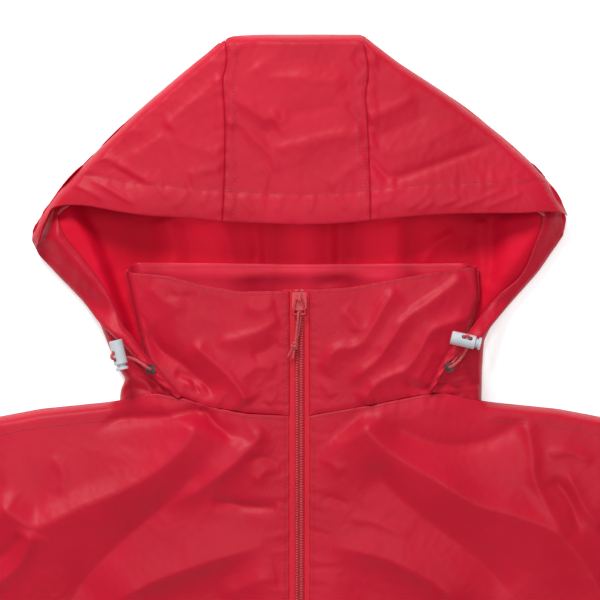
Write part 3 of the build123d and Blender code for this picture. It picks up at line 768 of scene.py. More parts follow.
def sleeves():
    us = np.linspace(0, 1, 31)
    vs = np.linspace(0, 1, 110)
    for side, name in SIDES:
        flat = sleeve_outline(side, us, vs)

        def height(x, y):
            free = sleeve_height(x, y)
            body = front_height(x, y)
            near, _, _ = nearest(ARMHOLE, np.abs(x), y)
            share = smooth(near / 40)
            return body * (1 - share) + free * share

        panel(f"sleeve_cloth_{name}", with_height(flat, height), [f"sleeve_top_{name}"],
              cloth={"growth": 0.015, "stiffness": 0.6})


CUFF_CENTRE = (399.5, -645.5)
CUFF_TURN = 15.0


def cuff_bands():
    """Gathered elastic inside the end of each sleeve, as a flattened ring."""
    around = np.linspace(0, 2 * math.pi, 193)[None, :]
    into_sleeve = np.linspace(4.5, 25.5, 10)[:, None]
    gathers = np.sin(44 * around + 0.6 * np.sin(5 * around))
    for side, name in SIDES:
        turn = math.radians(side * CUFF_TURN)
        across = 45.0 * np.sign(np.cos(around)) * np.abs(np.cos(around)) ** 0.7 + 0 * into_sleeve
        x = side * CUFF_CENTRE[0] + across * math.cos(turn) - into_sleeve * math.sin(turn)
        y = CUFF_CENTRE[1] + across * math.sin(turn) + into_sleeve * math.cos(turn)
        z = 6.2 + (3.6 + 0.35 * gathers) * np.sin(around) + 0 * into_sleeve
        panel(f"cuff_elastic_band_{name}", np.dstack([x, y, z]), [f"cuff_elastic_{name}"],
              outer=RIBBON, inner=RIBBON)


def under_height(edges, level):
    def height(x, y):
        d = np.min([nearest(edge, np.abs(x), y)[0] for edge in edges], axis=0)
        return 0.75 + 1.7 * (1 - roll(d, 9)) + level * 0.25 * (1 + crumple(x, y, 40, 4.0))
    return height


def under_side():
    us = np.linspace(0, 1, 60)
    vs = np.linspace(0, 1, 80)
    right = [(x, y) for x, y in [(HALF_HEM, HEM_Y), (282, -420), (285, -255)] + ARMHOLE[::-1][1:]]
    left = mirror(right)
    top = mirror(SHOULDER[::-1]) + SHOULDER
    hem = [(-HALF_HEM, HEM_Y), (HALF_HEM, HEM_Y)]
    flat = four_sided(hem, top, left, right, us, vs)
    height = under_height([BODY_EDGE[1], INNER_EDGE], 0.6)
    panel("back_cloth", with_height(flat, height), ["back_panel"], up=False)
    us = np.linspace(0, 1, 16)
    vs = np.linspace(0, 1, 60)
    for side, name in SIDES:
        flat = sleeve_outline(side, us, vs)
        height = under_height([SLEEVE_OUT, SLEEVE_IN], 0.6)
        panel(f"sleeve_under_cloth_{name}", with_height(flat, height), [f"sleeve_under_{name}"], up=False)


# ---------------------------------------------------------------- collar

COLLAR_FOLDS = [
    # wearer's right
    ([(-13, 60), (-28, 51), (-42, 46), (-64, 40)], 4.5, 2.2, (0.1, 0.25), 2.2),
    ([(-80, 42), (-62, 27), (-47, 12), (-36, -4)], 7, 3.0, (0.15, 0.1), 1.0),
    ([(-116, 50), (-100, 35), (-85, 25), (-70, 12), (-61, 0)], 7.5, -4.2, (0.1, 0.15), 1.0),
    ([(-91, 20), (-79, 15), (-73, 3)], 2.4, -1.8, (0.1, 0.2), 1.0),
    ([(-84, 12), (-72, 9), (-66, 2)], 3, 1.5, (0.1, 0.2), 1.0),
    ([(-40, 70), (-30, 66), (-16, 70)], 7, 1.4, (0.2, 0.2), 1.0),
    ([(-112, 84), (-98, 72), (-80, 66)], 9, 1.6, (0.2, 0.3), 1.0),
    ([(-100, 78), (-86, 75), (-74, 76)], 3, -0.8, (0.2, 0.3), 1.0),
    ([(-44, 14), (-30, 24), (-14, 22)], 6, 1.4, (0.2, 0.2), 1.0),
    ([(-36, 32), (-24, 36), (-14, 44)], 6, -1.3, (0.2, 0.2), 1.0),
    ([(-20, 14), (-17, 4), (-24, -4)], 4, 1.0, (0.2, 0.2), 1.0),
    # wearer's left
    ([(72, 82), (62, 70), (52, 52), (42, 40), (29, 38), (18, 29), (11, 21)], 4, 3.0, (0.1, 0.1), 2.6),
    ([(122, 92), (97, 73), (78, 60), (67, 45), (57, 30), (45, 20), (34, 12)], 4.5, 3.0, (0.06, 0.15), 2.0),
    ([(130, 62), (106, 55), (95, 49), (87, 35), (77, 22), (65, 17), (54, 10), (44, -4)],
     4.5, 3.0, (0.1, 0.08), 2.2),
    ([(112, 90), (98, 80), (84, 70), (70, 56)], 8, -0.9, (0.2, 0.2), 1.0),
    ([(100, 40), (92, 24), (84, 10)], 6, 1.5, (0.2, 0.2), 1.0),
    ([(30, 66), (40, 58), (42, 48)], 5, 1.2, (0.2, 0.2), 1.0),
    ([(98, 8), (86, 8), (76, 14)], 2.4, -1.6, (0.05, 0.3), 1.0),
    ([(98, 5), (88, 2), (80, 4)], 2.0, 1.2, (0.05, 0.3), 1.0),
    ([(13, 12), (20, 8), (24, 0)], 4, 1.0, (0.1, 0.3), 1.0),
    ([(-125, 78), (-119, 66), (-113.5, 56), (-114, 49), (-120, 46)], 1.6, -2.2, (0.1, 0.1), 1.0),
]


def collar_height(side):
    def height(x, y):
        edge, _, _ = nearest(COLLAR_SIDE[side], x, y)
        seam, _, _ = nearest(NECK_SEAM[side], x, y)
        rim, _, _ = nearest(COLLAR_TOP[side], x, y)
        z = 12.5 + (BODY_Z - 12.8) * roll(edge, 17)
        level = smooth((np.abs(x) - 9) / 16) * smooth(edge / 12)
        soft = level * smooth(rim / 9 + 0.25)
        for points, width, amount, fade, skew in COLLAR_FOLDS:
            z = z + 1.2 * fold(x, y, points, width, amount, fade, skew) * soft
        z = z + (1.1 * crumple(x, y, 46, 6.0) + 0.3 * crumple(x, y, 15, 2.0)) * soft
        z = z - 1.1 * np.exp(-(seam / 2.0) ** 2) * smooth((np.abs(x) - 7) / 8)
        z = z - 2.0 * smooth((np.abs(x) - 20) / 90) * np.exp(-(rim / 22) ** 2)
        z = z + seam_gathers(x, y, NECK_SEAM[side], 9.0, 0.9) * smooth((np.abs(x) - 12) / 50)
        z = z + 0.25 * seam_gathers(x, y, COLLAR_TOP[side], 3.0, 0.6, 1.1)
        return z + zip_fold(x) + 0.7 * zip_puckers(x, y)
    return height


def collar():
    us = column_shares(108, 18, 1.5, 2.0)
    vs = np.linspace(0, 1, 48)
    for side, name in SIDES:
        zip_edge = [(side * ZIP_EDGE, -11.6), (side * ZIP_EDGE, 80 if side > 0 else 79.5)]
        flat = four_sided(NECK_SEAM[side], COLLAR_TOP[side], zip_edge, COLLAR_SIDE[side], us, vs)
        grid = with_height(flat, collar_height(side))
        grid = turned_edge(grid, -1, 0.7)
        panel(f"collar_cloth_{name}", grid, [f"collar_front_{name}"],
              cloth={"growth": 0.007, "stiffness": 1.0})


def turned_edge(grid, row, drop, depth=12.0, taper=(0.0, 0.0)):
    """Adds the folded-in hem behind the edge at the first (0) or last (-1) row of a grid."""
    edge, inner = (grid[0], grid[1]) if row == 0 else (grid[-1], grid[-2])
    inward = inner - edge
    inward[:, 2] = 0
    inward /= np.linalg.norm(inward, axis=1)[:, None]
    shares = np.linspace(0, 1, len(edge))
    reach = smooth((shares - taper[0]) / 0.12 + 0.05) * smooth((1 - shares - taper[1]) / 0.12 + 0.05)
    rows = []
    for along, down in ((-0.25, 0.35), (-0.1, 0.9), (0.8, 1.35), (depth * 0.5, 1.4), (depth, 1.2)):
        extra = edge + inward * (along * reach)[:, None]
        extra[:, 2] = edge[:, 2] - down * drop / 0.7
        rows.append(extra)
    rows = np.array(rows)
    return np.concatenate([rows[::-1], grid]) if row == 0 else np.concatenate([grid, rows])


def collar_back():
    us = np.linspace(0, 1, 90)
    vs = np.linspace(0, 1, 36)
    bottom = [(-106, 5), (106, 5)]
    top = [(-128, 93.5), (-124, 98.5), (-118, 100.5), (-60, 100), (0, 99.2), (74, 99.6),
           (122, 100), (131, 97.5)]
    left = COLLAR_SIDE[-1]
    right = COLLAR_SIDE[1]
    flat = four_sided(bottom, top, left, right, us, vs)

    def height(x, y):
        edge = np.minimum(nearest(left, x, y)[0], nearest(right, x, y)[0])
        rim, _, _ = nearest(top, x, y)
        z = 3.2 + 9.4 * (1 - roll(edge, 15)) + 11.0 * np.exp(-(rim / 34) ** 2) * smooth(edge / 12)
        z = z + 2.0 * smooth((y - 84) / 8) * smooth(edge / 12)
        z = z + 1.6 * crumple(x, y, 34, 12.0) * smooth(edge / 14)
        z = z + fold(x, y, [(-60, 86), (-20, 93), (30, 92), (70, 86)], 5, 1.6)
        return z + fold(x, y, [(10, 84), (50, 92), (95, 91)], 3.5, -1.4)

    # the collar's back takes the shell red with the painted glow (painted light)
    panel("collar_back_cloth", with_height(flat, height), ["collar_back"], outer=COLLAR_BACK_GLOW)


# ---------------------------------------------------------------- hood

HOOD_FOLDS = [
    # centre panel
    ([(-52, 222), (-38, 214), (-24, 206), (-13, 210)], 6, 1.9, (0.1, 0.15), 1.0),
    ([(-50, 200), (-34, 198), (-24, 195), (-14, 200)], 6, -1.5, (0.1, 0.15), 1.0),
    ([(-34, 246), (-22, 236), (0, 235), (36, 231)], 8, 1.8, (0.1, 0.15), 0.7),
    ([(-12, 208), (10, 211), (32, 215)], 8, -1.4, (0.15, 0.2), 1.0),
    ([(-54, 202), (-42, 200), (-32, 190), (-20, 178), (-15, 160)], 4.2, 1.8, (0.05, 0.2), 1.0),
    ([(-22, 182), (5, 188), (25, 193), (47, 194)], 9, 2.4, (0.15, 0.05), 0.5),
    ([(48, 178), (35, 167), (20, 153)], 6, 1.9, (0.05, 0.2), 1.3),
    ([(-54, 250), (-44, 258), (-30, 266)], 3, 1.0, (0.05, 0.2), 1.0),
    ([(44, 258), (42, 248), (48, 240)], 2.6, -1.7, (0.1, 0.1), 1.0),
    ([(34, 217), (43, 206), (49, 201)], 2.6, -1.4, (0.2, 0.05), 1.0),
    ([(-30, 172), (-24, 164), (-26, 154)], 3.5, 0.9, (0.2, 0.2), 1.0),
    # wearer's right panel
    ([(-55, 236), (-70, 223), (-92, 205), (-99, 195)], 4.0, 2.4, (0.04, 0.15), 2.6),
    ([(-57, 178), (-80, 186), (-96, 194)], 5, 1.2, (0.1, 0.05), 1.0),
    ([(-96, 194), (-112, 184), (-130, 172)], 4.5, 1.5, (0.05, 0.3), 2.0),
    ([(-160, 160), (-151, 172), (-140, 176), (-127, 169), (-110, 160), (-98, 156)],
     3.2, 1.9, (0.15, 0.2), 1.0),
    ([(-138, 171), (-124, 163), (-112, 156)], 2.6, -1.4, (0.1, 0.3), 1.0),
    ([(-58, 168), (-70, 167), (-82, 162)], 4, 1.5, (0.1, 0.2), 1.0),
    ([(-84, 247), (-68, 247), (-55, 245)], 2.6, 0.9, (0.2, 0.05), 1.0),
    ([(-130, 196), (-116, 196), (-104, 200)], 5, 0.9, (0.2, 0.2), 1.0),
    ([(-194, 124), (-184, 140), (-170, 158)], 2.4, 1.4, (0.1, 0.3), 1.0),
    ([(-190, 120), (-181, 134), (-172, 146)], 1.8, -1.4, (0.1, 0.3), 1.0),
    ([(-192, 130), (-176, 148), (-150, 158)], 2.4, 1.2, (0.1, 0.3), 1.0),
    # wearer's left panel
    ([(50, 205), (68, 213), (88, 224)], 5, 2.2, (0.04, 0.3), 1.0),
    ([(53, 190), (76, 200), (102, 213)], 7, -2.0, (0.05, 0.3), 1.0),
    ([(51, 177), (60, 166), (67, 160)], 2.6, -2.2, (0.05, 0.05), 1.0),
    ([(66, 160), (90, 168), (112, 176), (148, 189)], 3.6, -2.6, (0.05, 0.3), 1.0),
    ([(58, 180), (84, 184), (112, 198), (128, 204)], 7, 1.6, (0.1, 0.3), 1.0),
    ([(120, 158), (142, 160), (166, 166)], 3, 0.8, (0.2, 0.2), 1.0),
    ([(194, 134), (180, 142), (160, 146)], 2.2, 1.2, (0.1, 0.3), 1.0),
    ([(58, 240), (70, 230), (86, 232)], 7, 1.1, (0.2, 0.3), 1.0),
    ([(52, 262), (55, 252), (52, 243)], 2.4, 1.1, (0.1, 0.1), 1.0),
]
BRIM_PUCKERS = [
    ((-80, 153), (-92, 140)), ((-152, 161), (-122, 143)), ((-144, 157), (-116, 141)),
    ((-166, 158), (-140, 145)),
    ((-48, 151), (-52, 135)), ((-44, 149), (-33, 135)), ((-68, 152), (-71, 141)), ((-104, 157), (-96, 146)),
    ((-30, 150), (-27, 136)), ((-14, 151), (-17, 136)), ((10, 150), (7, 137)), ((26, 151), (34, 138)),
    ((54, 143), (70, 147)), ((55, 150), (76, 153)), ((78, 139), (95, 151)), ((86, 137), (99, 147)),
    ((100, 141), (118, 148)), ((112, 139), (152, 155)), ((134, 140), (164, 152)), ((128, 156), (168, 160)),
]
BRIM_LINE = rounded(BRIM[-1][5:] + BRIM[0][1:] + BRIM[1][1:], 4)
HEM_DEPTH = 22.5
OUTLINE_TOP = [(-193.5, 110.8), (-196, 120), (-190, 134), (-178, 151), (-149, 182), (-116, 214), (-80, 245),
               (-54, HOOD_TOP_Y), (47, HOOD_TOP_Y), (74, 247), (110, 223), (139, 201), (169, 175), (182, 161),
               (197, 135)]
HOOD_SEAM_STEP = 0.35


def hood_height(x, y):
    edge, _, _ = nearest(OUTLINE_TOP, x, y)
    brim, _, _ = nearest(BRIM_LINE, x, y)
    z = 9.0 + (HOOD_Z - 11.5) * roll(edge, 30, 0.84)
    z = z + 3.0 * np.exp(-(brim / 30) ** 2) * smooth(edge / 20)
    soft = smooth(edge / 10) * smooth((brim - 12) / 14)
    for points, width, amount, fade, skew in HOOD_FOLDS:
        z = z + 0.75 * fold(x, y, points, width, amount, fade, skew) * soft
    crumples = 1.2 * crumple(x, y, 52, 15.0) + 0.45 * crumple(x, y, 17, 21.0)
    z = z + crumples * smooth(edge / 12) * smooth(brim / 26)
    puff = np.sin(np.clip(brim / HEM_DEPTH, 0, 1) * math.pi)
    stitch_groove = np.exp(-((brim - HEM_DEPTH) / 1.2) ** 2)
    z = z + 1.0 * puff * smooth(edge / 12) - 0.35 * stitch_groove * smooth(edge / 8)
    for start, end in BRIM_PUCKERS:
        z = z + fold(x, y, [start, ((start[0] + end[0]) / 2 + 1, (start[1] + end[1]) / 2), end], 2.0, 0.75)
    near_stitch = np.exp(-(np.abs(brim - HEM_DEPTH) / 5.0))
    small_waves = np.sin(x / 1.5 + 3 * uneven(x / 13.0))
    z = z + 0.45 * uneven(x / 6.0) ** 2 * near_stitch * small_waves * smooth(edge / 10)
    for seam in (SEAM_LEFT, SEAM_RIGHT):
        d, _, _ = nearest(seam, x, y)
        z = z - 0.45 * np.exp(-(d / 0.8) ** 2)
        z = z + HOOD_SEAM_STEP * smooth((7.5 - d) / 1.2)
        z = z + seam_gathers(x, y, seam, 5.0, 0.6)
    return z


def hood_top():
    vs = np.linspace(0, 1, 52)
    left_side = [(-193.5, 110.8), (-196, 120), (-190, 134), (-178, 151)]
    left_top = [(-178, 151), (-149, 182), (-116, 214), (-80, 244), (-54, HOOD_TOP_Y - 4.5)]
    right_side = [(197, 135), (190, 149), (182, 161)]
    right_top = [(46, HOOD_TOP_Y - 0.6), (51, HOOD_TOP_Y - 4.5), (74, 246), (110, 223), (139, 201),
                 (169, 175), (182, 161)]
    centre_top = [(-54, HOOD_TOP_Y - 4.5), (-46, HOOD_TOP_Y - 1.8), (-14, HOOD_TOP_Y), (46, HOOD_TOP_Y - 0.6)]
    pieces = {
        "right": (BRIM[-1], left_top, left_side, SEAM_LEFT, 60),
        "centre": (BRIM[0], centre_top, SEAM_LEFT, SEAM_RIGHT, 46),
        "left": (BRIM[1], right_top, SEAM_RIGHT, right_side, 60),
    }
    for name, (bottom, top, left, right, columns) in pieces.items():
        us = np.linspace(0, 1, columns)
        flat = four_sided(rounded(bottom, 4), rounded(top, 4), rounded(left, 4), rounded(right, 4), us, vs)
        taper = {"right": (0.3, 0.0), "centre": (0.0, 0.0), "left": (0.0, 0.15)}[name]
        grid = turned_edge(with_height(flat, hood_height), 0, 1.6, 18.0, taper)
        panel(f"hood_cloth_{name}", grid, [f"hood_panel_{name}"], cloth={"growth": 0.007, "stiffness": 1.2})


LEFT_TURN = [(-163, 150), (-162.7, 140), (-150.4, 119.5), (-142.2, 100), (-132, 71.4), (-124, 51), (-112, 30)]
INSIDE_FOLDS = [
    ([(-34, 134), (-31, 112), (-31, 88)], 4.5, 4.2, (0.05, 0.05), 2.4),
    ([(-27, 134), (-25, 112), (-25, 88)], 3.0, -3.0, (0.05, 0.05), 1.0),
    ([(30, 134), (29, 112), (30, 88)], 3.4, 3.6, (0.05, 0.05), 1.0),
    ([(22, 134), (22, 112), (23, 88)], 3.4, -3.6, (0.05, 0.05), 1.0),
    ([(45, 134), (40, 112), (42, 92)], 7, 3.4, (0.05, 0.05), 1.0),
    ([(-62, 134), (-52, 112), (-48, 92)], 7, 3.6, (0.05, 0.05), 1.0),
    ([(-98, 134), (-92, 112), (-96, 92)], 8, 3.6, (0.05, 0.05), 1.0),
    ([(-84, 134), (-80, 112), (-82, 92)], 4, -2.4, (0.05, 0.05), 1.0),
    ([(70, 132), (72, 112), (66, 98)], 6, 2.6, (0.1, 0.1), 1.0),
    ([(83, 132), (82, 114), (80, 98)], 6, -2.6, (0.1, 0.1), 1.0),
    ([(88, 96), (98, 112), (109, 119.5), (120, 119)], 4.5, 3.2, (0.15, 0.25), 1.6),
    ([(112, 130), (104, 123), (96, 118)], 3.5, -2.4, (0.1, 0.3), 1.0),
    ([(126, 120), (121, 112), (119, 102)], 4.0, -2.6, (0.15, 0.3), 1.0),
    ([(134, 134), (133, 116), (134, 96), (130, 76)], 6.0, 3.2, (0.1, 0.2), 1.0),
    ([(141, 134), (142, 112), (139, 80)], 3.6, -2.8, (0.1, 0.2), 1.0),
    ([(152, 136), (153, 110), (147, 82)], 8, 2.4, (0.1, 0.2), 1.0),
    ([(-158, 136), (-148, 114), (-138, 90)], 6, 1.2, (0.1, 0.2), 1.0),
    ([(-118, 134), (-112, 112), (-114, 92)], 8, -2.0, (0.1, 0.2), 1.0),
    ([(-76, 134), (-72, 116), (-78, 96)], 5, 1.6, (0.1, 0.2), 1.0),
    ([(10, 132), (6, 116), (12, 98)], 8, 1.6, (0.1, 0.2), 1.0),
]


def inside_height(x, y):
    """The lining side of the hood's back, rising at both sides to the folded opening edge."""
    left, side, _ = nearest(LEFT_TURN, x, y)
    beyond = np.where(side < 0, left, -left)
    rise_left = smooth((beyond + 3) / 8) * 15.0 + np.clip(beyond, 0, 40) * 0.1
    right = x - (112 + np.clip(y - 60, -30, 80) * 0.32)
    rise_right = smooth(right / 44) * 17.0
    reach = smooth((y - 34) / 26) * (1 - 0.75 * smooth((y - 132) / 34))
    outline = np.minimum(nearest(HOOD_LEFT_SIDE, x, y)[0], nearest(HOOD_RIGHT_SIDE, x, y)[0])
    z = 1.8 + (rise_left + rise_right) * reach * (0.4 + 0.6 * smooth(outline / 20))
    z = z + 6.4 * (1 - roll(outline, 12)) * smooth((y - 128) / 20)
    z = z - 4.5 * (1 - roll(outline, 8)) * smooth((y - 40) / 20) * (1 - smooth((y - 128) / 20))
    lively = smooth(outline / 12)
    for points, width, amount, fade, skew in INSIDE_FOLDS:
        z = z + fold(x, y, points, width, amount, fade, skew) * lively
    z = z + (1.6 * crumple(x, y, 40, 31.0) + 0.5 * crumple(x, y, 16, 33.0)) * lively
    edge_x, edge_y = np.array(BRIM[-1] + BRIM[0][1:] + BRIM[1][1:]).T
    covered = y > np.interp(x, edge_x, edge_y) - 1.0
    z = np.where(covered, np.minimum(z, hood_height(x, y) - 2.4), z)
    return np.maximum(z, 0.9)


def hood_inside():
    ys = np.concatenate([np.linspace(-1.5, 150, 76), np.linspace(154, HOOD_TOP_Y - 6, 26)])
    left, right = np.array(HOOD_LEFT_SIDE), np.array(HOOD_RIGHT_SIDE)
    low = np.interp(ys, left[:, 1], left[:, 0])
    high = np.interp(ys, right[:, 1], right[:, 0])
    low, high = low + 1.6 * smooth((ys - 134) / 8), high - 1.6 * smooth((ys - 130) / 8)
    us = np.linspace(0, 1, 130)
    x = low[:, None] * (1 - us) + high[:, None] * us
    y = np.repeat(ys[:, None], len(us), 1)
    grid = np.dstack([x, y, inside_height(x, y)])
    # the top of the hood's back takes the cloth with the painted glow (painted light)
    panel("hood_back_cloth", grid, ["hood_back"], outer=HOOD_INSIDE_GLOW, inner=OUTER)


BAND_OUTER = {
    -1: [(-180.6, 139.5), (-188, 124), (-193.5, 110.8), (-182, 96), (-160, 73), (-147, 57), (-136, 46.5),
         (-127, 38), (-119.5, 29.5), (-110.5, 19), (-101, 9.5), (-90, 0.5)],
    1: [(192, 137), (194.5, 123.4), (191.3, 116.5), (184.4, 106.5), (175.9, 94.2), (165.3, 82), (152.5, 67.5),
        (140.7, 54), (133.3, 44.5), (123.7, 37.2), (110.5, 27), (103, 14.8), (96.6, 6)],
}
BAND_INNER = {
    -1: [(-178, 139), (-173, 122.6), (-162.7, 109.3), (-152.5, 96), (-142.2, 81.6), (-136, 70), (-128, 54),
         (-121.8, 47), (-114.6, 36.5), (-105.4, 26.4), (-96.1, 15), (-84.9, 2.8)],
    1: [(178, 138), (176.4, 125.5), (172.7, 114.8), (166.3, 97.8), (158.8, 87.2), (148.2, 78.7),
        (137.6, 67.5),
        (130.2, 58.5), (121.6, 48), (111, 38.5), (102, 24), (94, 6.3)],
}


def hood_bands():
    """The hem of the hood's opening, seen from its lining side, and its gathered end over the collar."""
    us = np.linspace(0, 1, 13)
    vs = np.linspace(0, 1, 110)
    for side, name in SIDES:
        outer = spaced(rounded(BAND_OUTER[side], 5), vs)
        inner = spaced(rounded(BAND_INNER[side], 5), vs)
        flat = outer[:, None] * (1 - us)[None, :, None] + inner[:, None] * us[None, :, None]
        x, y = flat[..., 0], flat[..., 1]
        lower = 1 - smooth((y - 44) / 30)
        bulge = (1 - np.abs(2 * us - 1) ** 3)[None, :] * np.ones((len(vs), 1))
        rim = np.clip(np.abs(us - 0.5) * 2, 0, 1)[None, :] ** 6
        over = BODY_Z + 0.6 + 2.2 * bulge - 1.6 * rim
        over = over - 3.5 * smooth((16 - y) / 20)
        wing = inside_height(x, y) + 0.9 + 1.4 * bulge
        z = wing * (1 - lower) + over * lower
        gather = np.sin(y / 1.5 + us[None, :] * 4) * 0.55 * smooth((40 - y) / 18)
        lengthwise = x * 0.62 - y * 0.78 * side
        crumples = 1.1 * crumple(lengthwise * 0.35 + 90, x, 9, 41.0) + 0.8 * crumple(x, y, 9, 43.0)
        z = z + gather * bulge + crumples * bulge
        grid = np.dstack([x, y, z])
        panel(f"hood_band_{name}", grid, [f"hood_side_hem_{name}"], outer=OUTER, inner=INNER)


NECK_SIDE = {
    -1: {"band": [(-147, 57), (-136, 46.5), (-127, 38), (-119.5, 29.5), (-110.5, 19), (-101, 9.5), (-88, 1)],
         "rim": [(-147, 57), (-139, 36), (-134, 24), (-128, 15), (-131, 8), (-132, -1.5)]},
    1: {"band": [(141, 54), (133.3, 46), (123.7, 39), (110.5, 29), (102, 16), (95, 6)],
        "rim": [(141, 54), (136, 43), (134.5, 22), (134, -1.5)]},
}
NECK_SIDE_FOLDS = [
    ([(99, 14), (112, 11), (124, 13), (134, 12)], 1.5, -1.6, (0.1, 0.1), 1.0),
    ([(101, 19), (113, 23), (124, 31)], 2.0, 1.8, (0.1, 0.2), 1.0),
    ([(118, 28), (126, 20), (131, 10)], 2.2, -1.4, (0.2, 0.2), 1.0),
    ([(96, 8), (102, 12), (112, 10)], 1.6, 1.6, (0.1, 0.2), 1.0),
    ([(-128, 14), (-127, 8), (-130, 1)], 1.8, -1.8, (0.1, 0.1), 1.0),
    ([(-124, 26), (-112, 21), (-104, 13), (-102, 4)], 2.2, 2.2, (0.2, 0.1), 1.0),
    ([(-122, 17), (-112, 14), (-107, 6)], 1.6, -1.8, (0.2, 0.1), 1.0),
    ([(-131, 14), (-118, 16), (-104, 12), (-100, 2)], 3, 2.2, (0.05, 0.1), 1.0),
    ([(-130, 8), (-116, 8), (-106, 3)], 2.4, -1.6, (0.05, 0.1), 1.0),
    ([(-112, 6), (-108, -2)], 1.8, 1.2, (0.1, 0.1), 1.0),
    ([(-130, 42), (-118, 28), (-104, 12)], 4, -1.4, (0.1, 0.1), 1.0),
    ([(98, 12), (112, 16), (128, 20)], 2.6, -1.3, (0.1, 0.2), 1.0),
    ([(96, 6), (108, 7), (121, 8), (133, 9)], 2.2, 1.3, (0.1, 0.1), 1.0),
    ([(97, 3), (110, 3), (120, 4)], 1.6, -1.0, (0.1, 0.1), 1.0),
    ([(104, 22), (116, 24), (126, 18)], 5, 1.6, (0.1, 0.2), 1.0),
]


def neck_sides():
    us = np.linspace(0, 1, 30)
    vs = np.linspace(0, 1, 36)
    for side, name in SIDES:
        band = spaced(rounded(NECK_SIDE[side]["band"], 5), vs)
        rim = spaced(rounded(NECK_SIDE[side]["rim"], 5), vs)
        flat = band[:, None] * (1 - us)[None, :, None] + rim[:, None] * us[None, :, None]
        x, y = flat[..., 0], flat[..., 1]
        out = nearest(NECK_SIDE[side]["rim"], x, y)[0]
        z = 4.0 + 17.5 * roll(out, 20) + 2.0 * smooth((y - 30) / 30)
        for points, width, amount, fade, skew in NECK_SIDE_FOLDS:
            z = z + fold(x, y, points, width, amount, fade, skew) * smooth(out / 5)
        z = z + 0.8 * crumple(x, y, 18, 51.0) * smooth(out / 6)
        panel(f"hood_neck_cloth_{name}", np.dstack([x, y, z]), [f"hood_neck_side_{name}"])


# ---------------------------------------------------------------- small soft parts

def strip(name, line, width, height, nodes, material):
    """A flat ribbon along a line."""
    curve = rounded(line, 6)
    tangent = np.gradient(curve, axis=0)
    tangent /= np.linalg.norm(tangent, axis=1)[:, None]
    across = np.stack([-tangent[:, 1], tangent[:, 0]], -1)
    shares = np.linspace(-0.5, 0.5, 5)
    flat = curve[:, None] + across[:, None] * shares[None, :, None] * width
    z = np.full(flat.shape[:2], height) + 0.15 * (1 - (shares * 2) ** 2)
    return panel(name, np.dstack([flat, z]), nodes, outer=material, inner=material)


def facings():
    """Hem and brim cloth that lies inside, and the ribbons inside the collar."""
    hem_line = [(-274, HEM_Y + 13), (-100, HEM_Y + 12), (100, HEM_Y + 12), (274, HEM_Y + 13)]
    strip("hem_turn_up", hem_line, 24, 1.6, ["hem_facing"], INNER)
    brim = BRIM_LINE + np.array([0, 13.0])
    brim = brim[(brim[:, 0] > -140) & (brim[:, 0] < 140)][::6]
    strip("brim_tunnel_cloth", brim, 22, HOOD_Z - 7, ["hood_brim_facing"], INNER)
    strip("neck_tape_ribbon", [(-94, 11), (-30, 10), (30, 10), (94, 11)], 10, 8.4,
          ["neck_tape"], RIBBON)
    arc = [(21 * math.cos(a), 11 + 21 * math.sin(a)) for a in np.linspace(math.pi, 2 * math.pi, 9)]
    strip("hang_loop_ribbon", arc, 6, 9.2, ["hang_loop"], RIBBON)


def pocket_bags():
    for name in ("left", "right"):
        low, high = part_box(f"pocket_bag_{name}")
        low, high = np.array(low) / MM, np.array(high) / MM
        us = np.linspace(0, 1, 26)
        x = low[0] + 12 + (high[0] - low[0] - 24) * us[None, :] + np.zeros((30, 1))
        y = low[1] + 12 + (high[1] - low[1] - 24) * np.linspace(0, 1, 30)[:, None] - NECK + np.zeros((1, 26))
        edge = np.minimum.reduce([x - low[0], high[0] - x, y + NECK - low[1], high[1] - y - NECK]) - 12
        z = 14.5 + 3.5 * roll(edge, 30) + 0.8 * crumple(x, y, 30, 61.0)
        panel(f"pocket_bag_cloth_{name}", np.dstack([x, y, z]), [f"pocket_bag_{name}"],
              outer=LINING, inner=LINING)


# ---------------------------------------------------------------- zips

def coil_teeth(name, chain, nodes, pitch=1.2, place=Matrix.Identity(4), half=3.3, low=23.0, high=25.0):
    """Both rows of a coil zip: loops of one side lie between the loops of the other along the middle."""
    start, end = chain
    vertices, faces = [], []
    count = int((end - start) / pitch)
    profile = 6
    middle, depth = (high + low) / 2, (high - low) / 2
    for k in range(count * 2):
        side = 1 if k % 2 else -1
        y = start + (k // 2 + (0.25 if side > 0 else 0.75)) * pitch
        base = len(vertices)
        stations = ((side * -0.55, 0.4), (side * 0.1, 0.8), (side * 0.9, 1.0),
                    (side * half * 0.8, 1.0), (side * half, 0.5))
        for x, swell in stations:
            thick = 0.46 if abs(x) > 0.7 else 0.3
            for s in range(profile):
                angle = 2 * math.pi * s / profile
                dy = math.cos(angle) * pitch * thick * swell
                vertices.append((x, y + dy, middle + math.sin(angle) * depth * swell))
        for ring in range(len(stations) - 1):
            for s in range(profile):
                n = (s + 1) % profile
                faces.append((base + ring * profile + s, base + ring * profile + n,
                              base + (ring + 1) * profile + n, base + (ring + 1) * profile + s))
        faces.append(tuple(base + s for s in reversed(range(profile))))
        faces.append(tuple(base + (len(stations) - 1) * profile + s for s in range(profile)))
    points = [place @ Vector(v) for v in vertices]
    piece = link_mesh(name, to_frame([tuple(p) for p in points]), faces, [COIL])
    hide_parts(*nodes)
    return piece


def pocket_matrix(side):
    x, y = POCKET_CENTRE
    turn = Matrix.Rotation(math.radians(side * POCKET_TURN), 4, "Z")
    return Matrix.Translation((side * x, y, 0)) @ turn


def zips():
    low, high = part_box("zip_coil_left")
    coil_teeth("main_zip_teeth", (low.y / MM - NECK, high.y / MM - NECK), ["zip_coil_left", "zip_coil_right"])
    for side, name in SIDES:
        coil_teeth(f"pocket_zip_teeth_{name}", (-80, 77.6), [f"pocket_coil_{name}"],
                   place=pocket_matrix(side), half=2.5)


# ---------------------------------------------------------------- cords

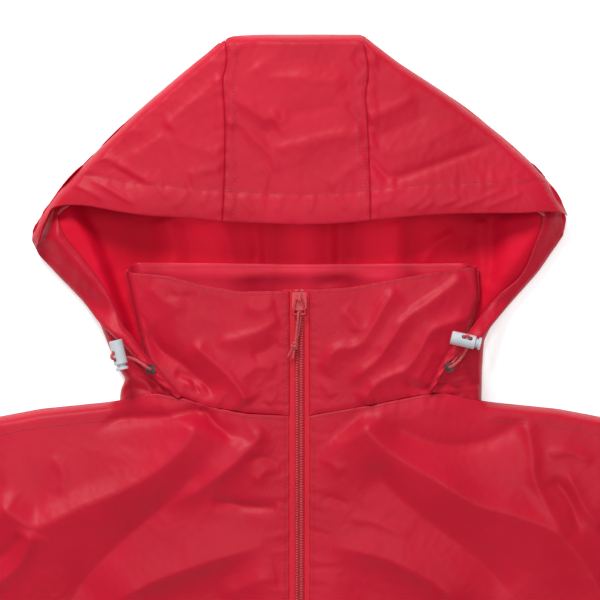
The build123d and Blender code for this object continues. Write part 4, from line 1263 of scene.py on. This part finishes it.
def spline_cord(name, points, diameter, nodes, body):
    curve = bpy.data.curves.new(name, "CURVE")
    curve.dimensions = "3D"
    curve.bevel_depth = diameter / 2 * MM
    curve.bevel_resolution = 4
    curve.resolution_u = 10
    curve.use_fill_caps = True
    spline = curve.splines.new("NURBS")
    spline.points.add(len(points) - 1)
    for target, point in zip(spline.points, points):
        target.co = (*to_frame([point])[0], 1.0)
    spline.order_u = 3
    spline.use_endpoint_u = True
    curve.materials.append(CORD)
    piece = bpy.data.objects.new(name, curve)
    bpy.context.scene.collection.objects.link(piece)
    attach(piece, body)
    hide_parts(*nodes)
    return piece


LOCKS = {
    "left": {"centre": (121.0, 43.5, 37.5), "axis": (0.975, -0.222), "tilt": 30, "eyelet": (109.5, 24.0)},
    "right": {"centre": (-131.0, 33.0, 36.0), "axis": (0.235, -0.972), "tilt": 48, "eyelet": (-108.5, 22.5)},
}
EYELET_FACE_Z = 29.5
WINDOWS = [(2.6, 0, -7.4), (2.6, 0, 7.2), (-2.2, 0, 7.2), (-2.2, 0, 2.5)]


def lock_matrix(side):
    lock = LOCKS[side]
    ux, uy = lock["axis"]
    size = math.hypot(ux, uy)
    x_axis = Vector((ux / size, uy / size, 0))
    across = Vector((-uy, ux, 0)) / size if side == "left" else Vector((uy, -ux, 0)) / size
    tilt = math.radians(lock["tilt"])
    z_axis = across * math.sin(tilt) + Vector((0, 0, math.cos(tilt)))
    y_axis = z_axis.cross(x_axis)
    turn = Matrix((x_axis, y_axis, z_axis)).transposed().to_4x4()
    return Matrix.Translation(lock["centre"]) @ turn


def cords():
    for side, bend in (("left", [(112.5, 25.6, 33.6), (117.5, 30.2, 32.2)]),
                       ("right", [(-112.5, 25.4, 32.6), (-118.5, 29.2, 31.2)])):
        x, y = LOCKS[side]["eyelet"]
        place = lock_matrix(side)
        route = [(x, y, EYELET_FACE_Z), (x, y, EYELET_FACE_Z + 2.5)] + bend
        route += [tuple(place @ Vector(point)) for point in WINDOWS]
        cord = spline_cord(f"lock_cord_{side}", route, 2.0, [f"toggle_cord_{side}"], "jacket")
    pull = [(-8.4, 31.6, 27.4), (-6.2, 36.0, 28.1), (-2.9, 42.0, 28.9), (-1.9, 51.0, 29.3),
            (-1.0, 58.0, 29.9),
            (-0.9, 64.5, 29.9), (0.9, 64.5, 25.9), (1.0, 58.0, 26.3), (-0.4, 51.0, 27.4), (-2.3, 42.4, 28.5),
            (-3.9, 36.4, 28.3), (-4.4, 30.4, 27.3)]
    cord = spline_cord("pull_cord", pull, 1.5, ["zip_pull_cord"], "main_pull")
    knot = pull_knot()
    cord_in_tunnel()


def pull_knot():
    """An overhand knot: one strand wound into a small ball."""
    low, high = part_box("zip_pull_knot")
    centre = (low + high) / 2 / MM
    points = []
    turns = 3
    for k in range(turns * 9 + 1):
        a = k / 9 * 2 * math.pi
        b = a * 2 / turns + 0.4
        r = 1.7 + 0.4 * math.cos(b)
        points.append((centre.x + r * math.cos(a), centre.y - NECK + 1.6 * math.sin(b) + 1.0 * math.sin(a),
                       centre.z + r * math.sin(a) * 0.8))
    knot = spline_cord("pull_knot", points, 1.5, ["zip_pull_knot"], "main_pull")
    return knot


DRAWCORD_ROUTE = [
    (109.5, 24, EYELET_FACE_Z), (109.5, 24, 26), (117, 35, 26.5), (127, 46, 26.5), (145, 67.5, 26.5),
    (166, 90, 26.5),
    (180, 113, 27.2), (184, 130, 28.6), (172, 141.5, 29.4), (118, 142, 29.4), (60, 137, 29.4),
    (2, 134.5, 29.4),
    (-56, 136.5, 29.4), (-112, 141.5, 29.4), (-160, 147.5, 29.4), (-179, 137, 28.6), (-180, 120, 27.2),
    (-166.5, 95.5, 26.5), (-141.5, 63.5, 26.5), (-132, 50.5, 26.5), (-117, 33, 26.5), (-108.5, 22.5, 26),
    (-108.5, 22.5, EYELET_FACE_Z),
]


def cord_in_tunnel():
    """The drawcord inside the hem of the hood's opening, kept below the cloth that covers it."""
    route = []
    for x, y, z in DRAWCORD_ROUTE:
        spot = np.array([[x]]), np.array([[y]])
        if y > 141:
            cover = float(hood_height(*spot)[0, 0]) - 4.0
        elif y > 60:
            cover = float(inside_height(*spot)[0, 0]) - 1.0
        else:
            cover = z if z > 26.6 or y < 30 else 24.5
        route.append((x, y, min(z, cover)))
    spline_cord("drawcord_in_hem", route, 2.0, ["hood_drawcord"], "jacket")


# ---------------------------------------------------------------- seams and stitching

def sewn_lines():
    fronts = ["front_cloth_left", "front_cloth_right"]
    collars = ["collar_cloth_left", "collar_cloth_right"]
    hoods = ["hood_cloth_left", "hood_cloth_right", "hood_cloth_centre"]
    edge = ZIP_EDGE + 2.3
    zip_lines = [[(s * edge, HEM_Y + 3), (s * edge, -13)] for s in (1, -1)]
    stitches("zip_topstitch_body", zip_lines, fronts)
    stitches("zip_topstitch_collar", [[(s * edge, -10), (s * edge, 77)] for s in (1, -1)], collars)
    rims = [[(x, y - 1.8) for x, y in rounded(COLLAR_TOP[s], 5)] for s in (1, -1)]
    stitches("collar_rim_stitch", rims, collars, pitch=2.2, length=1.3)
    neck = [[(x, y - 2.0) for x, y in rounded(NECK_SEAM[s], 5)] for s in (1, -1)]
    stitches("neck_seam_stitch", neck, fronts)
    brim = [(x, y + HEM_DEPTH) for x, y in BRIM_LINE if -176 < x < 186]
    seams = []
    for line, sign in ((SEAM_LEFT, 1), (SEAM_RIGHT, -1)):
        seams.append([(x + sign * 1.8, y) for x, y in rounded(line, 5)])
        seams.append([(x + sign * 7.0, y) for x, y in rounded(line, 5)])
    stitches("hood_brim_stitch", [brim], hoods, pitch=2.3, length=1.4)
    stitches("hood_seam_stitch", seams, hoods, pitch=2.6)
    bands = ["hood_band_left", "hood_band_right"]
    facing = []
    for side in (1, -1):
        inner = rounded(BAND_INNER[side], 5)
        outer = rounded(BAND_OUTER[side], 5)
        shares = np.linspace(0, 1, 80)
        facing.append(spaced(inner, shares) * 0.92 + spaced(outer, shares) * 0.08)
    stitches("hood_facing_stitch", facing, bands, pitch=2.2, length=1.3)
    stitches("collar_back_rim_stitch", [[(x, 97.0) for x in np.linspace(-116, 122, 40)]],
             ["collar_back_cloth"],
             pitch=2.2, length=1.3)
    hem = [[(s * 10, HEM_Y + 22), (s * 276, HEM_Y + 22)] for s in (1, -1)]
    stitches("hem_topstitch", hem, fronts)
    arm = [[(s * (x - 2.0), y) for x, y in rounded(ARMHOLE, 5)] for s in (1, -1)]
    stitches("armhole_topstitch", arm, fronts)
    shoulder = [[(s * x, y - 13) for x, y in SHOULDER[1:-1]] for s in (1, -1)]
    stitches("shoulder_topstitch", shoulder, fronts)


# ---------------------------------------------------------------- carried-over CAD pieces

def dress(nodes, material):
    for node in nodes:
        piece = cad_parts[node]
        piece.data.materials.clear()
        piece.data.materials.append(material)


def dress_hardware():
    dress(["zip_slider", "zip_pull_wire"], PAINT)
    for side in ("left", "right"):
        dress([f"pocket_slider_{side}", f"pocket_pull_{side}"], PAINT)
        dress([f"cord_lock_barrel_{side}", f"cord_lock_plunger_{side}"], LOCK)
        dress([f"cord_lock_spring_{side}"], STEEL)
        dress([f"eyelet_{side}"], EYELET)
        dress([f"zip_tape_{side}", f"pocket_tape_{side}"], TAPE)
    dress(["zip_top_stops", "zip_insertion_pin", "zip_retainer_box"], COIL)


add_camera()
add_light()
add_floor()
cords()
front_panels()
sleeves()
cuff_bands()
under_side()
collar()
collar_back()
hood_inside()
hood_top()
hood_bands()
neck_sides()
facings()
pocket_bags()
zips()
sewn_lines()
dress_hardware()
